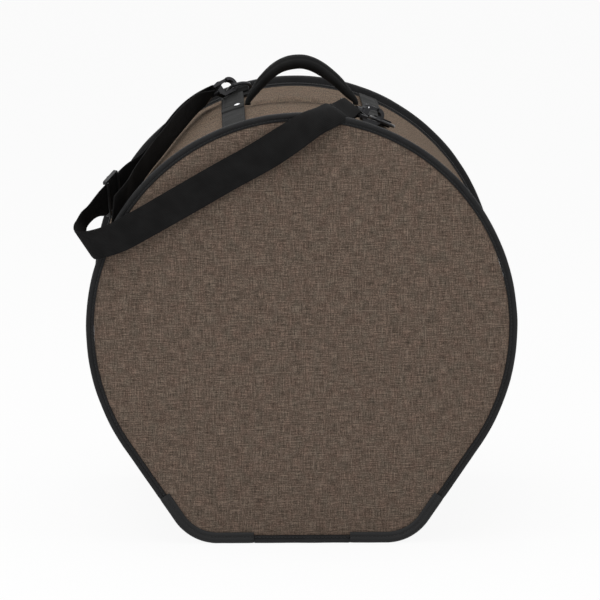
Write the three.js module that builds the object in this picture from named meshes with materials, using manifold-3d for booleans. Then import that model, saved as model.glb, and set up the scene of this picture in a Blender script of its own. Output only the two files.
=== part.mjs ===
// A padded round bag for a floor tom, standing on its flat base, in millimetres with +Z up.
// The front face looks along -Y. The back is a zipped lid that swings down about its lower rear edge.
import * as THREE from "three";
import { mergeVertices } from "three/addons/utils/BufferGeometryUtils.js";
import Module from "manifold-3d";

const wasm = await Module();
wasm.setup();

// Outline of the bag, the same for the front and the back
const RIM_RADIUS = 250;
const CENTRE_HEIGHT = 254;
const DEPTH = 450;
const BASE_CORNER_HALF_WIDTH = 130;
const CORNER_ROUNDING = 60;
const ARC_STEPS = 32;
const CORNER_STEPS = 4;

// Fits and thicknesses
const GAP = 0.3;
const CLOTH = 1.2;
const LINING = 0.8;
const FOAM = 10;
const VINYL = 1.6;
const WEBBING = 1.8;

// Bound edges and their corner caps
const BINDING_WIDTH = 9.3;
const BINDING_DEPTH = 10;
const BINDING_SHARES = [
  [1, 0.1],
  [0.6, 0.1],
  [0.48, 0],
  [0.22, 0],
  [0.06, 0.12],
  [0, 0.34],
  [0, 0.7],
  [0.1, 0.92],
  [0.33, 1],
  [1, 1],
];
const CAP_THICKNESS = 1.5;
const CAP_SKIN = 1.1;
const CAP_WIDTH = 13.4;
const CAP_OUTER_SHARES = [0.56, 0.22];
const CAP_EDGE_SHARE = 0.07;
const CAP_SKIN_CORNER_SHARE = 0.7;
const CAP_DEPTH_SHARES = [0.02, 0.28, 0.94];
const CAP_BASE_REACH = 42;
const CAP_SIDE_SHARE = 0.3;

// Face panels
const PANEL_CROWN = 7;
const PANEL_EDGE_DROP = 1.2;
const PANEL_RING_SHARES = [0.2, 0.45, 0.72, 0.9, 1];

// Wall cloth: a soft crease across the top and a swelling at the upper left
const CREASE_DEPTH = 5;
const CREASE_PLACE_SHARE = 0.12;
const CREASE_HALF_SHARE = 0.08;
const CREASE_FROM_DEGREES = [-32, -24];
const CREASE_TO_DEGREES = [8, 16];
const BULGE_HEIGHT = 6;
const BULGE_PLACE_SHARE = 0.62;
const BULGE_HALF_SHARE = 0.19;
const BULGE_FROM_DEGREES = [-66, -54];
const BULGE_TO_DEGREES = [-40, -32];
const WALL_DEPTH_SHARES = [-0.65, -0.25, 0.04, 0.12, 0.2, 0.43, 0.62];

// Base
const BOOT_THICKNESS = 1.9;
const BOOT_RAMP_SHARES = [0, 0.26, 0.52, 0.78, 1];
const BOOT_LAP_STEP_SHARE = 0.5;
const BOARD_THICKNESS = 4;
const BOARD_MARGIN = 3;
const SEAM_STEP_SHARE = 0.03;

// Zip
const ZIP_TAPE = 12;
const CHAIN_HALF = 2.7;
const CHAIN_HEIGHT = 2.4;
const STOP_STEP_SHARE = 0.35;
const STOP_PROUD_SHARE = 0.25;
const SLIDER_LENGTH = 16;
const SLIDER_PLATE = 1.6;
const SLIDER_CLEARANCE = 1.6;
const SLIDER_LIP = 1.5;
const SLIDER_A_DEGREES = 100;
const SLIDER_B_DEGREES = 117;
const BRIDGE_HEIGHT = 3;
const BRIDGE_BAR = 1.6;
const BRIDGE_HOLE = 4;
const BRIDGE_WIDTH = 3.2;
const PULL_LENGTH = 34;
const PULL_WIDTH = 8;
const PULL_THICKNESS = 1.8;
const PULL_WINDOW = 5.5;
const PULL_CLEARANCE = 0.6;
const PULL_TAPER_SHARE = 0.7;

// Vinyl strips over the handle's ends, and their rivets. Angles are degrees clockwise from the top.
const PATCH_RISE = 2.9;
const PATCH_HUMP = 1.4;
const PATCH_HUMP_RUN = 5.6;
const PATCH_CREASE = 2.4;
const PATCH_BEVEL = 1;
const PATCH_LEFT_DEGREES = [-22, -15.3];
const PATCH_RIGHT_DEGREES = [24.4, 18.8];
const PATCH_RIGHT_FRONT = 70;
const PATCH_OPEN_LENGTH = 26;
const RIVET_RADIUS = 4;
const RIVET_HEIGHT = 1.8;
const RIVET_LEFT_DEGREES = -17.2;
const RIVET_RIGHT_DEGREES = 19.7;

// Top handle
const HANDLE_FEET = [-60.3, 69];
const HANDLE_HINGE_HEIGHT = 493.2;
const HANDLE_RISE = 48.8;
const HANDLE_THICKNESS = 17;
const HANDLE_WIDTH = 32;
const HANDLE_FOOT_RADIUS = 3.5;
const HANDLE_FOOT_WIDTH = 25;
const HANDLE_SIDES = 12;
const FOOT_LEFT_DEGREES = [-20.5, -15.4];
const FOOT_RIGHT_DEGREES = [17.5, 22.5];
// Each row holds the place along the span, the rise, the thickness and the width.
const HANDLE_SHARES = [
  [0, 0, 0.42, 0.22],
  [0.022, 0.118, 0.5, 0.31],
  [0.08, 0.343, 0.7, 0.76],
  [0.172, 0.629, 0.8, 0.9],
  [0.281, 0.863, 0.91, 0.97],
  [0.389, 0.976, 1, 1],
  [0.497, 1, 1, 1],
  [0.606, 0.925, 1, 1],
  [0.729, 0.731, 0.91, 0.97],
  [0.838, 0.486, 0.8, 0.9],
  [0.93, 0.22, 0.68, 0.58],
  [0.981, 0.078, 0.5, 0.3],
  [1, 0, 0.42, 0.22],
];
// Each row holds the drop below the hinge and the half width, as shares of the foot's radius.
const HANDLE_TOE_SHARES = [
  [0.97, 0.23],
  [0.76, 0.65],
  [0.46, 0.89],
];

// Side grab handle. Its ends are placed as shares of the outline's round part, counted from the left.
const SIDE_HANDLE_ARC_SHARES = [0.947, 1.03];
const SIDE_HANDLE_WIDTH = 38;
const SIDE_HANDLE_THICKNESS = 3;
const SIDE_HANDLE_RISE = 12.7;
const SIDE_HANDLE_FORWARD = 140;
const SIDE_HANDLE_FLAT_SHARE = 0.12;
const SIDE_HANDLE_STEP_SHARES = [0.25, 0.5, 0.75, 1];
const SIDE_PATCH_MARGIN = 3;

// D-rings and the webbing tabs that hold them
const RING_INNER_WIDTH = 25;
const RING_WIRE = 4;
const RING_SIDE = 5;
const RING_ARC = 16;
const RING_GRIP_DEGREES = 43.6;
const TAB_WIDTH = 22;
const WIRE_SIDES = 8;
const RING_LEFT_DEGREES = -16.2;
const RING_LEFT_TILT_DEGREES = 30;
const RING_LEFT_RISE = 4.8;
const RING_LEFT_DEPTH = 174;
const TAB_LEFT_TAIL = 40;
const TAB_LEFT_SLOPE = 12;
const RING_RIGHT_DEGREES = 22.4;
const RING_RIGHT_TILT_DEGREES = 5;
const RING_RIGHT_RISE = 8.3;
const RING_RIGHT_DEPTH = -138;
const TAB_RIGHT_TAIL = 92;
const TAB_RIGHT_SLOPE = 66;

// Snap hooks, measured along the hook from the bar that holds the webbing
const EYE_BAR = 3.4;
const EYE_SLOT = 5.4;
const EYE_CROSSBAR = 4.3;
const EYE_BOSS = 3.4;
const BOSS_RADIUS = 4.6;
const STEM_RADIUS = 1.9;
const STEM_CLEARANCE = 0.5;
const COLLAR_RADIUS = 5;
const COLLAR_LENGTH = 2.2;
const HOOK_BLOCK = 8;
const HOOK_OPENING = 14;
const HOOK_NOSE_RADIUS = 10;
const HOOK_WALL = 4.3;
const HOOK_THICKNESS = 7;
const HOOK_SEAT = 3.2;
const GATE_THICKNESS = 3.4;
const GATE_BAR = 3.2;
const GATE_PIVOT_RADIUS = 2.9;
const PIN_RADIUS = 1;

// Shoulder strap and its slide adjuster
const STRAP_WIDTH = 38;
const LAYER_STEP = 2.4;
const LOOP_RADIUS = 3.7;
const LOOP_STEPS = 6;
const FRAME_LENGTH = 30;
const FRAME_RAIL = 4;
const FRAME_RAIL_HEIGHT = 4.4;
const FRAME_BAR = 3.4;
const FRAME_SIDE_CLEARANCE = 0.7;

// The strap's route: x and z as shares of the rim's radius, y of half the depth, then its direction
// across and its crown as a share of its width. It runs from the right hook over the front rim, across
// the face and round the left, back along the wall to the left hook, and doubles back under itself.
const STRAP_RUN_SHARES = [
  [0.176, -0.876, 0.99, -0.6, 0.68, 0.42, 0],
  [0.158, -0.938, 1.016, -0.7, 0.65, 0.3, 0.03],
  [0.148, -0.967, 1, -0.69, 0.6, 0.4, 0.12],
  [0.132, -0.973, 0.979, -0.67, 0.55, 0.48, 0.2],
  [0.078, -1.011, 0.969, -0.65, 0.55, 0.52, 0.2],
  [0.048, -1.038, 0.964, -0.62, 0.54, 0.57, 0.16],
  [0.018, -1.062, 0.939, -0.58, 0.53, 0.62, 0.1],
  [-0.043, -1.067, 0.9, -0.5, 0.42, 0.75, 0],
  [-0.168, -1.053, 0.816, -0.63, 0.21, 0.74, 0],
  [-0.358, -1.053, 0.711, -0.67, 0.14, 0.73, 0],
  [-0.548, -1.058, 0.602, -0.67, 0.14, 0.73, 0],
  [-0.739, -1.067, 0.494, -0.7, 0.15, 0.69, 0],
  [-0.865, -1.08, 0.429, -0.68, 0.15, 0.72, 0],
  [-0.962, -1.096, 0.403, -0.6, 0.09, 0.79, 0],
  [-0.999, -1.062, 0.397, -0.56, 0.06, 0.83, 0],
  [-1.014, -0.973, 0.424, -0.49, -0.45, 0.74, 0],
  [-1.019, -0.88, 0.468, -0.25, -0.85, 0.46, 0],
  [-1.006, -0.84, 0.493, -0.17, -0.84, 0.51, 0],
  [-0.977, -0.804, 0.519, -0.16, -0.85, 0.5, 0],
  [-0.947, -0.758, 0.542, -0.13, -0.72, 0.68, 0],
  [-0.915, -0.728, 0.563, -0.07, -0.4, 0.91, 0],
  [-0.814, -0.51, 0.654, -0.07, -0.4, 0.91, 0],
  [-0.65, -0.182, 0.794, 0.09, -0.31, 0.95, 0],
];
const STRAP_RETURN_SHARES = [
  [-0.484, 0.444, 0.906, 0.15, -0.6, 0.79, 0],
  [-0.544, 0.225, 0.87, 0.1, -0.4, 0.91, 0],
  [-0.588, 0.025, 0.84, 0.09, -0.31, 0.95, 0],
  [-0.64, -0.187, 0.792, 0.09, -0.31, 0.95, 0],
  [-0.7, -0.391, 0.736, 0.09, -0.31, 0.95, 0],
  [-0.74, -0.556, 0.694, 0.09, -0.31, 0.95, 0],
  [-0.784, -0.676, 0.64, 0.09, -0.31, 0.95, 0],
  [-0.816, -0.849, 0.6, 0.09, -0.31, 0.95, 0],
  [-0.872, -0.938, 0.542, 0.09, -0.31, 0.95, 0],
];
const STRAP_FOLDED_ROWS = 3;
const STRAP_FRAME_ROW = STRAP_RUN_SHARES.length - 3;
const EYE_LEFT_SHARES = [-0.4416, 0.586, 0.9284, 0.41, -0.66, 0.63];
const EYE_RIGHT_SHARES = [0.222, -0.792, 1.008, -0.55, 0.75, 0.36];

const nodes = {};

function vec(x, y, z) {
  return new THREE.Vector3(x, y, z);
}

function mix(a, b, share) {
  return a + (b - a) * share;
}

function smooth(value, from, to) {
  return THREE.MathUtils.smoothstep(value, from, to);
}

// Solids

function solidOf(points, faces) {
  let volume = 0;
  for (const [a, b, c] of faces) volume += points[a].dot(points[b].clone().cross(points[c]));
  const wound = volume < 0 ? faces.map(([a, b, c]) => [a, c, b]) : faces;
  const geometry = new THREE.BufferGeometry().setFromPoints(points);
  geometry.setIndex(wound.flat());
  const flat = geometry.toNonIndexed();
  flat.computeVertexNormals();
  return flat;
}

// Triangles that fill a flat ring of points, wound as the ring is.
function capOf(ring) {
  const normal = vec(0, 0, 0);
  ring.forEach((p, i) => normal.add(p.clone().cross(ring[(i + 1) % ring.length])));
  normal.normalize();
  const helper = Math.abs(normal.z) < Math.SQRT1_2 ? vec(0, 0, 1) : vec(1, 0, 0);
  const a = helper.cross(normal).normalize();
  const b = normal.clone().cross(a);
  const contour = ring.map((p) => new THREE.Vector2(p.dot(a), p.dot(b)));
  const faces = THREE.ShapeUtils.triangulateShape(contour, []);
  return faces.map((face) => {
    const area = THREE.ShapeUtils.area(face.map((i) => contour[i]));
    return area < 0 ? [face[0], face[2], face[1]] : face;
  });
}

// Triangles that fill a flat ring made of two facing rows, one there and one back.
function bandCap(ring) {
  const last = ring.length - 1;
  const faces = [];
  for (let j = 0; j + 1 < ring.length / 2; j++) {
    faces.push([j, j + 1, last - j - 1], [j, last - j - 1, last - j]);
  }
  return faces;
}

// A closed solid through rings of equal numbers of points, capped flat unless its path closes on itself.
// Each quad is split along its shorter diagonal, so that parallel skins stay parallel where they swell.
function loft(rings, closed = false, cap = capOf) {
  const count = rings[0].length;
  const faces = [];
  const spans = closed ? rings.length : rings.length - 1;
  for (let i = 0; i < spans; i++) {
    const m = (i + 1) % rings.length;
    for (let j = 0; j < count; j++) {
      const k = (j + 1) % count;
      const [a, b, c, d] = [i * count + j, i * count + k, m * count + k, m * count + j];
      if (rings[i][j].distanceTo(rings[m][k]) <= rings[i][k].distanceTo(rings[m][j])) {
        faces.push([a, b, c], [a, c, d]);
      } else {
        faces.push([a, b, d], [b, c, d]);
      }
    }
  }
  if (!closed) {
    const last = (rings.length - 1) * count;
    faces.push(...cap(rings[0]).map(([a, b, c]) => [a, c, b]));
    faces.push(...cap(rings[rings.length - 1]).map((face) => face.map((i) => i + last)));
  }
  return solidOf(rings.flat(), faces);
}

function toManifold(geometry) {
  const bare = new THREE.BufferGeometry();
  bare.setAttribute("position", geometry.getAttribute("position"));
  if (geometry.index) bare.setIndex(geometry.index);
  const merged = mergeVertices(bare);
  const mesh = new wasm.Mesh({
    numProp: 3,
    vertProperties: merged.getAttribute("position").array,
    triVerts: new Uint32Array(merged.index.array),
  });
  return new wasm.Manifold(mesh);
}

function fromManifold(solid) {
  const mesh = solid.getMesh();
  const geometry = new THREE.BufferGeometry();
  geometry.setAttribute("position", new THREE.BufferAttribute(mesh.vertProperties, mesh.numProp));
  geometry.setIndex(new THREE.BufferAttribute(mesh.triVerts, 1));
  const flat = geometry.toNonIndexed();
  flat.computeVertexNormals();
  return flat;
}

function joined(geometries) {
  return fromManifold(geometries.map(toManifold).reduce((sum, solid) => sum.add(solid)));
}

function cut(geometry, tools) {
  const start = toManifold(geometry);
  return fromManifold(tools.map(toManifold).reduce((rest, tool) => rest.subtract(tool), start));
}

// A round bar between two points.
function rod(from, to, radius, sides = 12) {
  const along = to.clone().sub(from);
  const geometry = new THREE.CylinderGeometry(radius, radius, along.length(), sides);
  geometry.applyQuaternion(new THREE.Quaternion().setFromUnitVectors(vec(0, 1, 0), along.normalize()));
  const middle = from.clone().add(to).divideScalar(2);
  return geometry.translate(middle.x, middle.y, middle.z);
}

// A box between its low and high corners.
function block(low, high) {
  const size = high.clone().sub(low);
  const middle = high.clone().add(low).divideScalar(2);
  return new THREE.BoxGeometry(size.x, size.y, size.z).translate(middle.x, middle.y, middle.z);
}

// A flat shape given a thickness, half of it to each side of its plane.
function slab(shape, thickness) {
  const options = { depth: thickness, bevelEnabled: false, curveSegments: 6 };
  return new THREE.ExtrudeGeometry(shape, options).translate(0, 0, -thickness / 2);
}

function pathOf(points) {
  return new THREE.Path(points.map(([x, y]) => new THREE.Vector2(x, y)));
}

function shapeOf(points) {
  return new THREE.Shape(points.map(([x, y]) => new THREE.Vector2(x, y)));
}

// A local frame with its x and y along two directions that are square to each other.
function frameAt(origin, x, y) {
  return new THREE.Matrix4().makeBasis(x, y, x.clone().cross(y)).setPosition(origin);
}

function squareTo(direction, axis) {
  return direction.clone().addScaledVector(axis, -direction.dot(axis)).normalize();
}

function look(color, roughness, metalness) {
  return () => new THREE.MeshStandardMaterial({ color, roughness, metalness, flatShading: true });
}

const FACE_CLOTH = look(0x5d5147, 0.95, 0);
const WALL_CLOTH = look(0x76695c, 0.95, 0);
const BLACK_CLOTH = look(0x222223, 0.9, 0);
const BLACK_WEBBING = look(0x1d1d1e, 0.85, 0);
const BLACK_VINYL = look(0x262626, 0.6, 0);
const GREY_VINYL = look(0x3b3a38, 0.55, 0);
const LINING_CLOTH = look(0x2b2b2d, 0.9, 0);
const PALE_FOAM = look(0xb9b6ae, 1, 0);
const BOARD_FIBRE = look(0x3a3733, 0.8, 0);
const DARK_METAL = look(0x2a2b2d, 0.35, 0.9);
const BRIGHT_METAL = look(0xc9cbcd, 0.25, 1);
const BLACK_PLASTIC = look(0x161616, 0.4, 0);

function piece(name, geometry, finish) {
  const mesh = new THREE.Mesh(geometry, finish());
  mesh.name = name;
  nodes[name] = mesh;
}

// Outline of the bag, in stations that run from the base's left end over the top to its right end

const halfDepth = DEPTH / 2;
const sideAngle =
  Math.atan(BASE_CORNER_HALF_WIDTH / CENTRE_HEIGHT) +
  Math.acos(RIM_RADIUS / Math.hypot(BASE_CORNER_HALF_WIDTH, CENTRE_HEIGHT));
const sideNormal = Math.PI - sideAngle;
const cornerCentreX =
  (RIM_RADIUS - CORNER_ROUNDING - (CENTRE_HEIGHT - CORNER_ROUNDING) * Math.cos(sideAngle)) /
  Math.sin(sideAngle);
const capBaseX = cornerCentreX - CAP_BASE_REACH;

function makeStations() {
  const stations = [];
  for (let i = 0; i <= CORNER_STEPS; i++) {
    stations.push({ kind: "corner", side: -1, angle: -mix(Math.PI, sideNormal, i / CORNER_STEPS) });
  }
  stations.push({ kind: "side", side: -1, angle: -sideNormal });
  for (let i = 0; i <= ARC_STEPS; i++) {
    stations.push({ kind: "circle", angle: mix(-sideNormal, sideNormal, i / ARC_STEPS) });
  }
  stations.push({ kind: "side", side: 1, angle: sideNormal });
  for (let i = CORNER_STEPS; i >= 0; i--) {
    stations.push({ kind: "corner", side: 1, angle: mix(Math.PI, sideNormal, i / CORNER_STEPS) });
  }
  for (const x of [capBaseX, 0, -capBaseX]) stations.push({ kind: "base", x });
  return stations;
}

const STATIONS = makeStations();
const LOOP = STATIONS.length;
const LEFT_CORNER_TOP = CORNER_STEPS;
const LEFT_CAP_TOP = LEFT_CORNER_TOP + 1;
const RIGHT_CAP_TOP = LEFT_CAP_TOP + 1 + ARC_STEPS + 1;
const RIGHT_CORNER_TOP = RIGHT_CAP_TOP + 1;
const RIGHT_CORNER_FOOT = RIGHT_CORNER_TOP + CORNER_STEPS;
const RIGHT_CAP_FOOT = RIGHT_CORNER_FOOT + 1;
const LEFT_CAP_FOOT = RIGHT_CAP_FOOT + 2;
const ZIP_FROM = 1;
const ZIP_TO = RIGHT_CORNER_FOOT - 1;
const ALL_ROUND = STATIONS.map((_, k) => k);
const HALF_ROUND = ALL_ROUND.filter((k) => k % 2 === 0);

function circlePoint(angle, inset) {
  const radius = RIM_RADIUS - inset;
  return [radius * Math.sin(angle), CENTRE_HEIGHT + radius * Math.cos(angle)];
}

function stationPoint(station, inset) {
  if (station.kind === "base") return [station.x, inset];
  if (station.kind === "circle") return circlePoint(station.angle, inset);
  const radius = CORNER_ROUNDING - inset;
  const x = station.side * cornerCentreX + radius * Math.sin(station.angle);
  const z = CORNER_ROUNDING + radius * Math.cos(station.angle);
  if (station.kind === "corner") return [x, z];
  const high = circlePoint(station.angle, inset);
  return [mix(x, high[0], CAP_SIDE_SHARE), mix(z, high[1], CAP_SIDE_SHARE)];
}

// A point of the outline at a whole or part station, moved in from the rim.
function outlinePoint(place, inset, y) {
  const index = Math.floor(place);
  const from = stationPoint(STATIONS[index % LOOP], inset);
  const to = stationPoint(STATIONS[(index + 1) % LOOP], inset);
  return vec(mix(from[0], to[0], place - index), y, mix(from[1], to[1], place - index));
}

// The whole stations between two places, with the places themselves.
function range(from, to) {
  const places = [from];
  for (let k = Math.floor(from) + 1; k < to; k++) places.push(k);
  return [...places, to];
}

// A strip that follows the outline. sectionAt gives its section as pairs of inset and depth.
function sweep(places, sectionAt, closed = false) {
  const rings = places.map((k) => sectionAt(k).map(([inset, y]) => outlinePoint(k, inset, y)));
  return loft(rings, closed);
}

function rectangle(outer, inner, from, to) {
  return [
    [outer, from],
    [outer, to],
    [inner, to],
    [inner, from],
  ];
}

// Places along the bag's depth, and insets from the rim, that neighbouring pieces share

const panelInset = BINDING_WIDTH + GAP;
const wallInset = BINDING_WIDTH - GAP;
const foamInset = wallInset + CLOTH + GAP;
const liningInset = foamInset + FOAM + GAP;
const panelInner = PANEL_EDGE_DROP + CLOTH;
const faceFoamInner = panelInner + GAP + FOAM;
const faceLiningInner = faceFoamInner + GAP + LINING;
const wallStart = BINDING_DEPTH + GAP;
const insideStart = faceLiningInner + GAP;
const lidTapeStart = halfDepth - wallStart - ZIP_TAPE;
const chainMiddle = lidTapeStart - GAP - CHAIN_HALF - GAP;
const chainStart = chainMiddle - CHAIN_HALF;
const tapeStart = chainStart - GAP - ZIP_TAPE;
const wallEnd = tapeStart - GAP;
const insideEnd = chainStart - GAP;

// A depth measured in from the front, side -1, or from the back, side 1.
function endDepth(side, inward) {
  return side * (halfDepth - inward);
}

// Faces: crowned cloth over foam and lining, a bound edge and two corner caps

function crownAt(share) {
  return PANEL_CROWN * (1 - share ** 4);
}

function faceRing(places, inset, share, y) {
  return places.map((k) => {
    const p = outlinePoint(k, inset, y);
    return vec(p.x * share, y, mix(CENTRE_HEIGHT, p.z, share));
  });
}

function faceRings(side, places, inset, inward) {
  const rings = PANEL_RING_SHARES.map((share) => [share, endDepth(side, inward - crownAt(share))]);
  return rings.map(([share, y]) => faceRing(places, inset, share, y));
}

function bindingGeometry(side) {
  const sectionAt = (k) => {
    const covered = k <= LEFT_CAP_TOP || k >= RIGHT_CAP_TOP;
    return BINDING_SHARES.map(([across, inward]) => {
      const shift = covered ? CAP_THICKNESS * (1 - across) : 0;
      return [BINDING_WIDTH * across + shift, endDepth(side, BINDING_DEPTH * inward)];
    });
  };
  return sweep(ALL_ROUND, sectionAt, true);
}

function capGeometry(side, places) {
  const lip = CAP_THICKNESS - CAP_SKIN;
  const [wide, narrow] = CAP_OUTER_SHARES.map((share) => CAP_WIDTH * share);
  const edge = CAP_WIDTH * CAP_EDGE_SHARE;
  const [near, shoulder, end] = CAP_DEPTH_SHARES.map((share) => BINDING_DEPTH * share);
  const section = [
    [CAP_WIDTH, -lip - CAP_SKIN / 2],
    [wide, -CAP_THICKNESS],
    [narrow, -CAP_THICKNESS],
    [edge, near],
    [0, shoulder],
    [0, end],
    [CAP_SKIN, end],
    [CAP_SKIN, shoulder + lip],
    [edge + CAP_SKIN * CAP_SKIN_CORNER_SHARE, near + CAP_SKIN / 2],
    [narrow + lip, -lip],
    [wide, -lip],
    [CAP_WIDTH, -lip / 2],
  ];
  return sweep(places, () => section.map(([inset, inward]) => [inset, endDepth(side, inward)]));
}

function makeFace(side, label) {
  const outer = faceRings(side, ALL_ROUND, panelInset, PANEL_EDGE_DROP);
  const inner = faceRings(side, ALL_ROUND, panelInset, panelInner).reverse();
  piece(label + "_panel", loft([...outer, ...inner]), FACE_CLOTH);
  const foamFace = faceRings(side, HALF_ROUND, foamInset, panelInner + GAP);
  const foamBack = faceRing(HALF_ROUND, foamInset, 1, endDepth(side, faceFoamInner));
  piece(label + "_foam", loft([...foamFace, foamBack]), PALE_FOAM);
  const liningRings = [faceFoamInner + GAP, faceLiningInner].map((inward) =>
    faceRing(HALF_ROUND, foamInset, 1, endDepth(side, inward)),
  );
  piece(label + "_lining", loft(liningRings), LINING_CLOTH);
  piece(label + "_binding", bindingGeometry(side), BLACK_CLOTH);
  const leftCap = capGeometry(side, range(LEFT_CAP_FOOT, LOOP + LEFT_CAP_TOP));
  const rightCap = capGeometry(side, range(RIGHT_CAP_TOP, RIGHT_CAP_FOOT));
  piece(label + "_cap_left", leftCap, BLACK_VINYL);
  piece(label + "_cap_right", rightCap, BLACK_VINYL);
}

// Wall: cloth, foam and lining from behind the front binding to the zip

// How far the wall's cloth is drawn in at the soft crease, less how far it swells at the upper left.
function wallDent(place, y) {
  const p = outlinePoint(place, 0, y);
  const degrees = THREE.MathUtils.radToDeg(Math.atan2(p.x, p.z - CENTRE_HEIGHT));
  const creased = smooth(degrees, ...CREASE_FROM_DEGREES) * (1 - smooth(degrees, ...CREASE_TO_DEGREES));
  const swollen = smooth(degrees, ...BULGE_FROM_DEGREES) * (1 - smooth(degrees, ...BULGE_TO_DEGREES));
  const share = y / halfDepth;
  const crease = Math.max(0, 1 - Math.abs(share - CREASE_PLACE_SHARE) / CREASE_HALF_SHARE);
  const bulge = Math.max(0, 1 - Math.abs(share - BULGE_PLACE_SHARE) / BULGE_HALF_SHARE);
  return CREASE_DEPTH * creased * crease - BULGE_HEIGHT * swollen * bulge;
}

function wallDepths(from, to) {
  return [from, ...WALL_DEPTH_SHARES.map((share) => share * halfDepth), to];
}

function makeWall() {
  const places = range(LEFT_CORNER_TOP, RIGHT_CORNER_TOP);
  const front = endDepth(-1, insideStart);
  const clothDepths = wallDepths(endDepth(-1, wallStart), wallEnd);
  const clothSection = (k) => {
    const outer = clothDepths.map((y) => [wallInset + wallDent(k, y), y]);
    const inner = outer.map(([inset, y]) => [inset + CLOTH, y]).reverse();
    return [...outer, ...inner];
  };
  piece("gusset_shell", sweep(places, clothSection), WALL_CLOTH);

  const foamDepths = [...wallDepths(front, wallEnd), insideEnd];
  const foamSection = (k) => [
    ...foamDepths.map((y) => [foamInset + wallDent(k, y), y]),
    [foamInset + FOAM, insideEnd],
    [foamInset + FOAM, front],
  ];
  piece("gusset_foam", sweep(places, foamSection), PALE_FOAM);

  const liningSection = () => rectangle(liningInset, liningInset + LINING, front, insideEnd);
  piece("gusset_lining", sweep(ALL_ROUND, liningSection, true), LINING_CLOTH);
}

// Base: a vinyl boot that ramps in to the wall at the corners, a stiff board and foam

const bootTopInset = wallInset - GAP - BOOT_THICKNESS;

// 0 on the flat base, rising to 1 at the top of each corner.
function ramp(place) {
  const k = place % LOOP;
  const left = k <= LEFT_CAP_TOP ? k : 0;
  const right = k >= RIGHT_CAP_TOP ? RIGHT_CORNER_FOOT - k : 0;
  const steps = THREE.MathUtils.clamp(left + right, 0, CORNER_STEPS);
  const low = Math.min(Math.floor(steps), CORNER_STEPS - 1);
  return mix(BOOT_RAMP_SHARES[low], BOOT_RAMP_SHARES[low + 1], steps - low);
}

function makeBase() {
  const bootFront = endDepth(-1, wallStart);
  const bootEnd = endDepth(1, wallStart);
  const top = RIGHT_CORNER_TOP - BOOT_LAP_STEP_SHARE;
  const bootPlaces = range(top, LOOP + LEFT_CORNER_TOP + BOOT_LAP_STEP_SHARE);
  const bootSection = (k) => {
    const inset = bootTopInset * ramp(k);
    return rectangle(inset, inset + BOOT_THICKNESS, bootFront, ramp(k) > 0 ? wallEnd : bootEnd);
  };
  piece("base_boot", sweep(bootPlaces, bootSection), BLACK_VINYL);

  const front = endDepth(-1, insideStart);
  const boardHalf = cornerCentreX - BOARD_MARGIN;
  const boardBottom = BOOT_THICKNESS + GAP;
  const boardTop = boardBottom + BOARD_THICKNESS;
  const board = block(vec(-boardHalf, front, boardBottom), vec(boardHalf, insideEnd, boardTop));
  piece("base_board", board, BOARD_FIBRE);

  const foamFrom = RIGHT_CORNER_TOP + SEAM_STEP_SHARE;
  const foamPlaces = range(foamFrom, LOOP + LEFT_CORNER_TOP - SEAM_STEP_SHARE);
  const foamSection = (k) => {
    const outer = mix(boardTop + GAP, foamInset, ramp(k));
    return rectangle(outer, foamInset + FOAM, front, wallEnd);
  };
  piece("base_foam", sweep(foamPlaces, foamSection), PALE_FOAM);

  const stripHalf = capBaseX - GAP;
  const strip = block(
    vec(-stripHalf, bootEnd + GAP, 0),
    vec(stripHalf, halfDepth, CAP_THICKNESS - GAP),
  );
  piece("lid_hinge_strip", strip, BLACK_CLOTH);
}

// Zip: two tapes, two chain halves, end stops, and two sliders with pulls

const chainOuter = wallInset - GAP - CHAIN_HEIGHT / 2;
const chainInner = chainOuter + CHAIN_HEIGHT;
const plateTop = chainOuter - SLIDER_CLEARANCE - SLIDER_PLATE;

function makeZip() {
  const places = range(ZIP_FROM, ZIP_TO);
  for (const [name, from] of [["zip_tape_body", tapeStart], ["zip_tape_lid", lidTapeStart]]) {
    const section = () => rectangle(wallInset, wallInset + CLOTH, from, from + ZIP_TAPE);
    piece(name, sweep(places, section), BLACK_CLOTH);
  }
  for (const [name, from] of [["zip_chain_body", chainStart], ["zip_chain_lid", chainMiddle + GAP]]) {
    const section = () => rectangle(chainOuter, chainInner, from, from + CHAIN_HALF);
    piece(name, sweep(places, section), BLACK_PLASTIC);
  }
  const stopOuter = chainOuter - CHAIN_HEIGHT * STOP_PROUD_SHARE;
  const stopSection = () => rectangle(stopOuter, chainInner, chainStart, chainMiddle);
  const left = [ZIP_FROM - STOP_STEP_SHARE, ZIP_FROM - SEAM_STEP_SHARE];
  const right = [ZIP_TO + SEAM_STEP_SHARE, ZIP_TO + STOP_STEP_SHARE];
  piece("zip_stop_left", sweep(left, stopSection), DARK_METAL);
  piece("zip_stop_right", sweep(right, stopSection), DARK_METAL);
  for (const [label, degrees] of [["a", SLIDER_A_DEGREES], ["b", SLIDER_B_DEGREES]]) {
    piece("zip_slider_" + label, sliderGeometry(degrees), DARK_METAL);
    piece("zip_pull_" + label, pullGeometry(degrees), DARK_METAL);
  }
}

// Directions on the rim: round runs clockwise as seen from the front, out leaves the bag.
function rimDirections(degrees) {
  const angle = THREE.MathUtils.degToRad(degrees);
  return {
    out: vec(Math.sin(angle), 0, Math.cos(angle)),
    round: vec(Math.cos(angle), 0, -Math.sin(angle)),
  };
}

function rimPoint(degrees, inset, y) {
  const radius = RIM_RADIUS - inset;
  return vec(0, y, CENTRE_HEIGHT).addScaledVector(rimDirections(degrees).out, radius);
}

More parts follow.
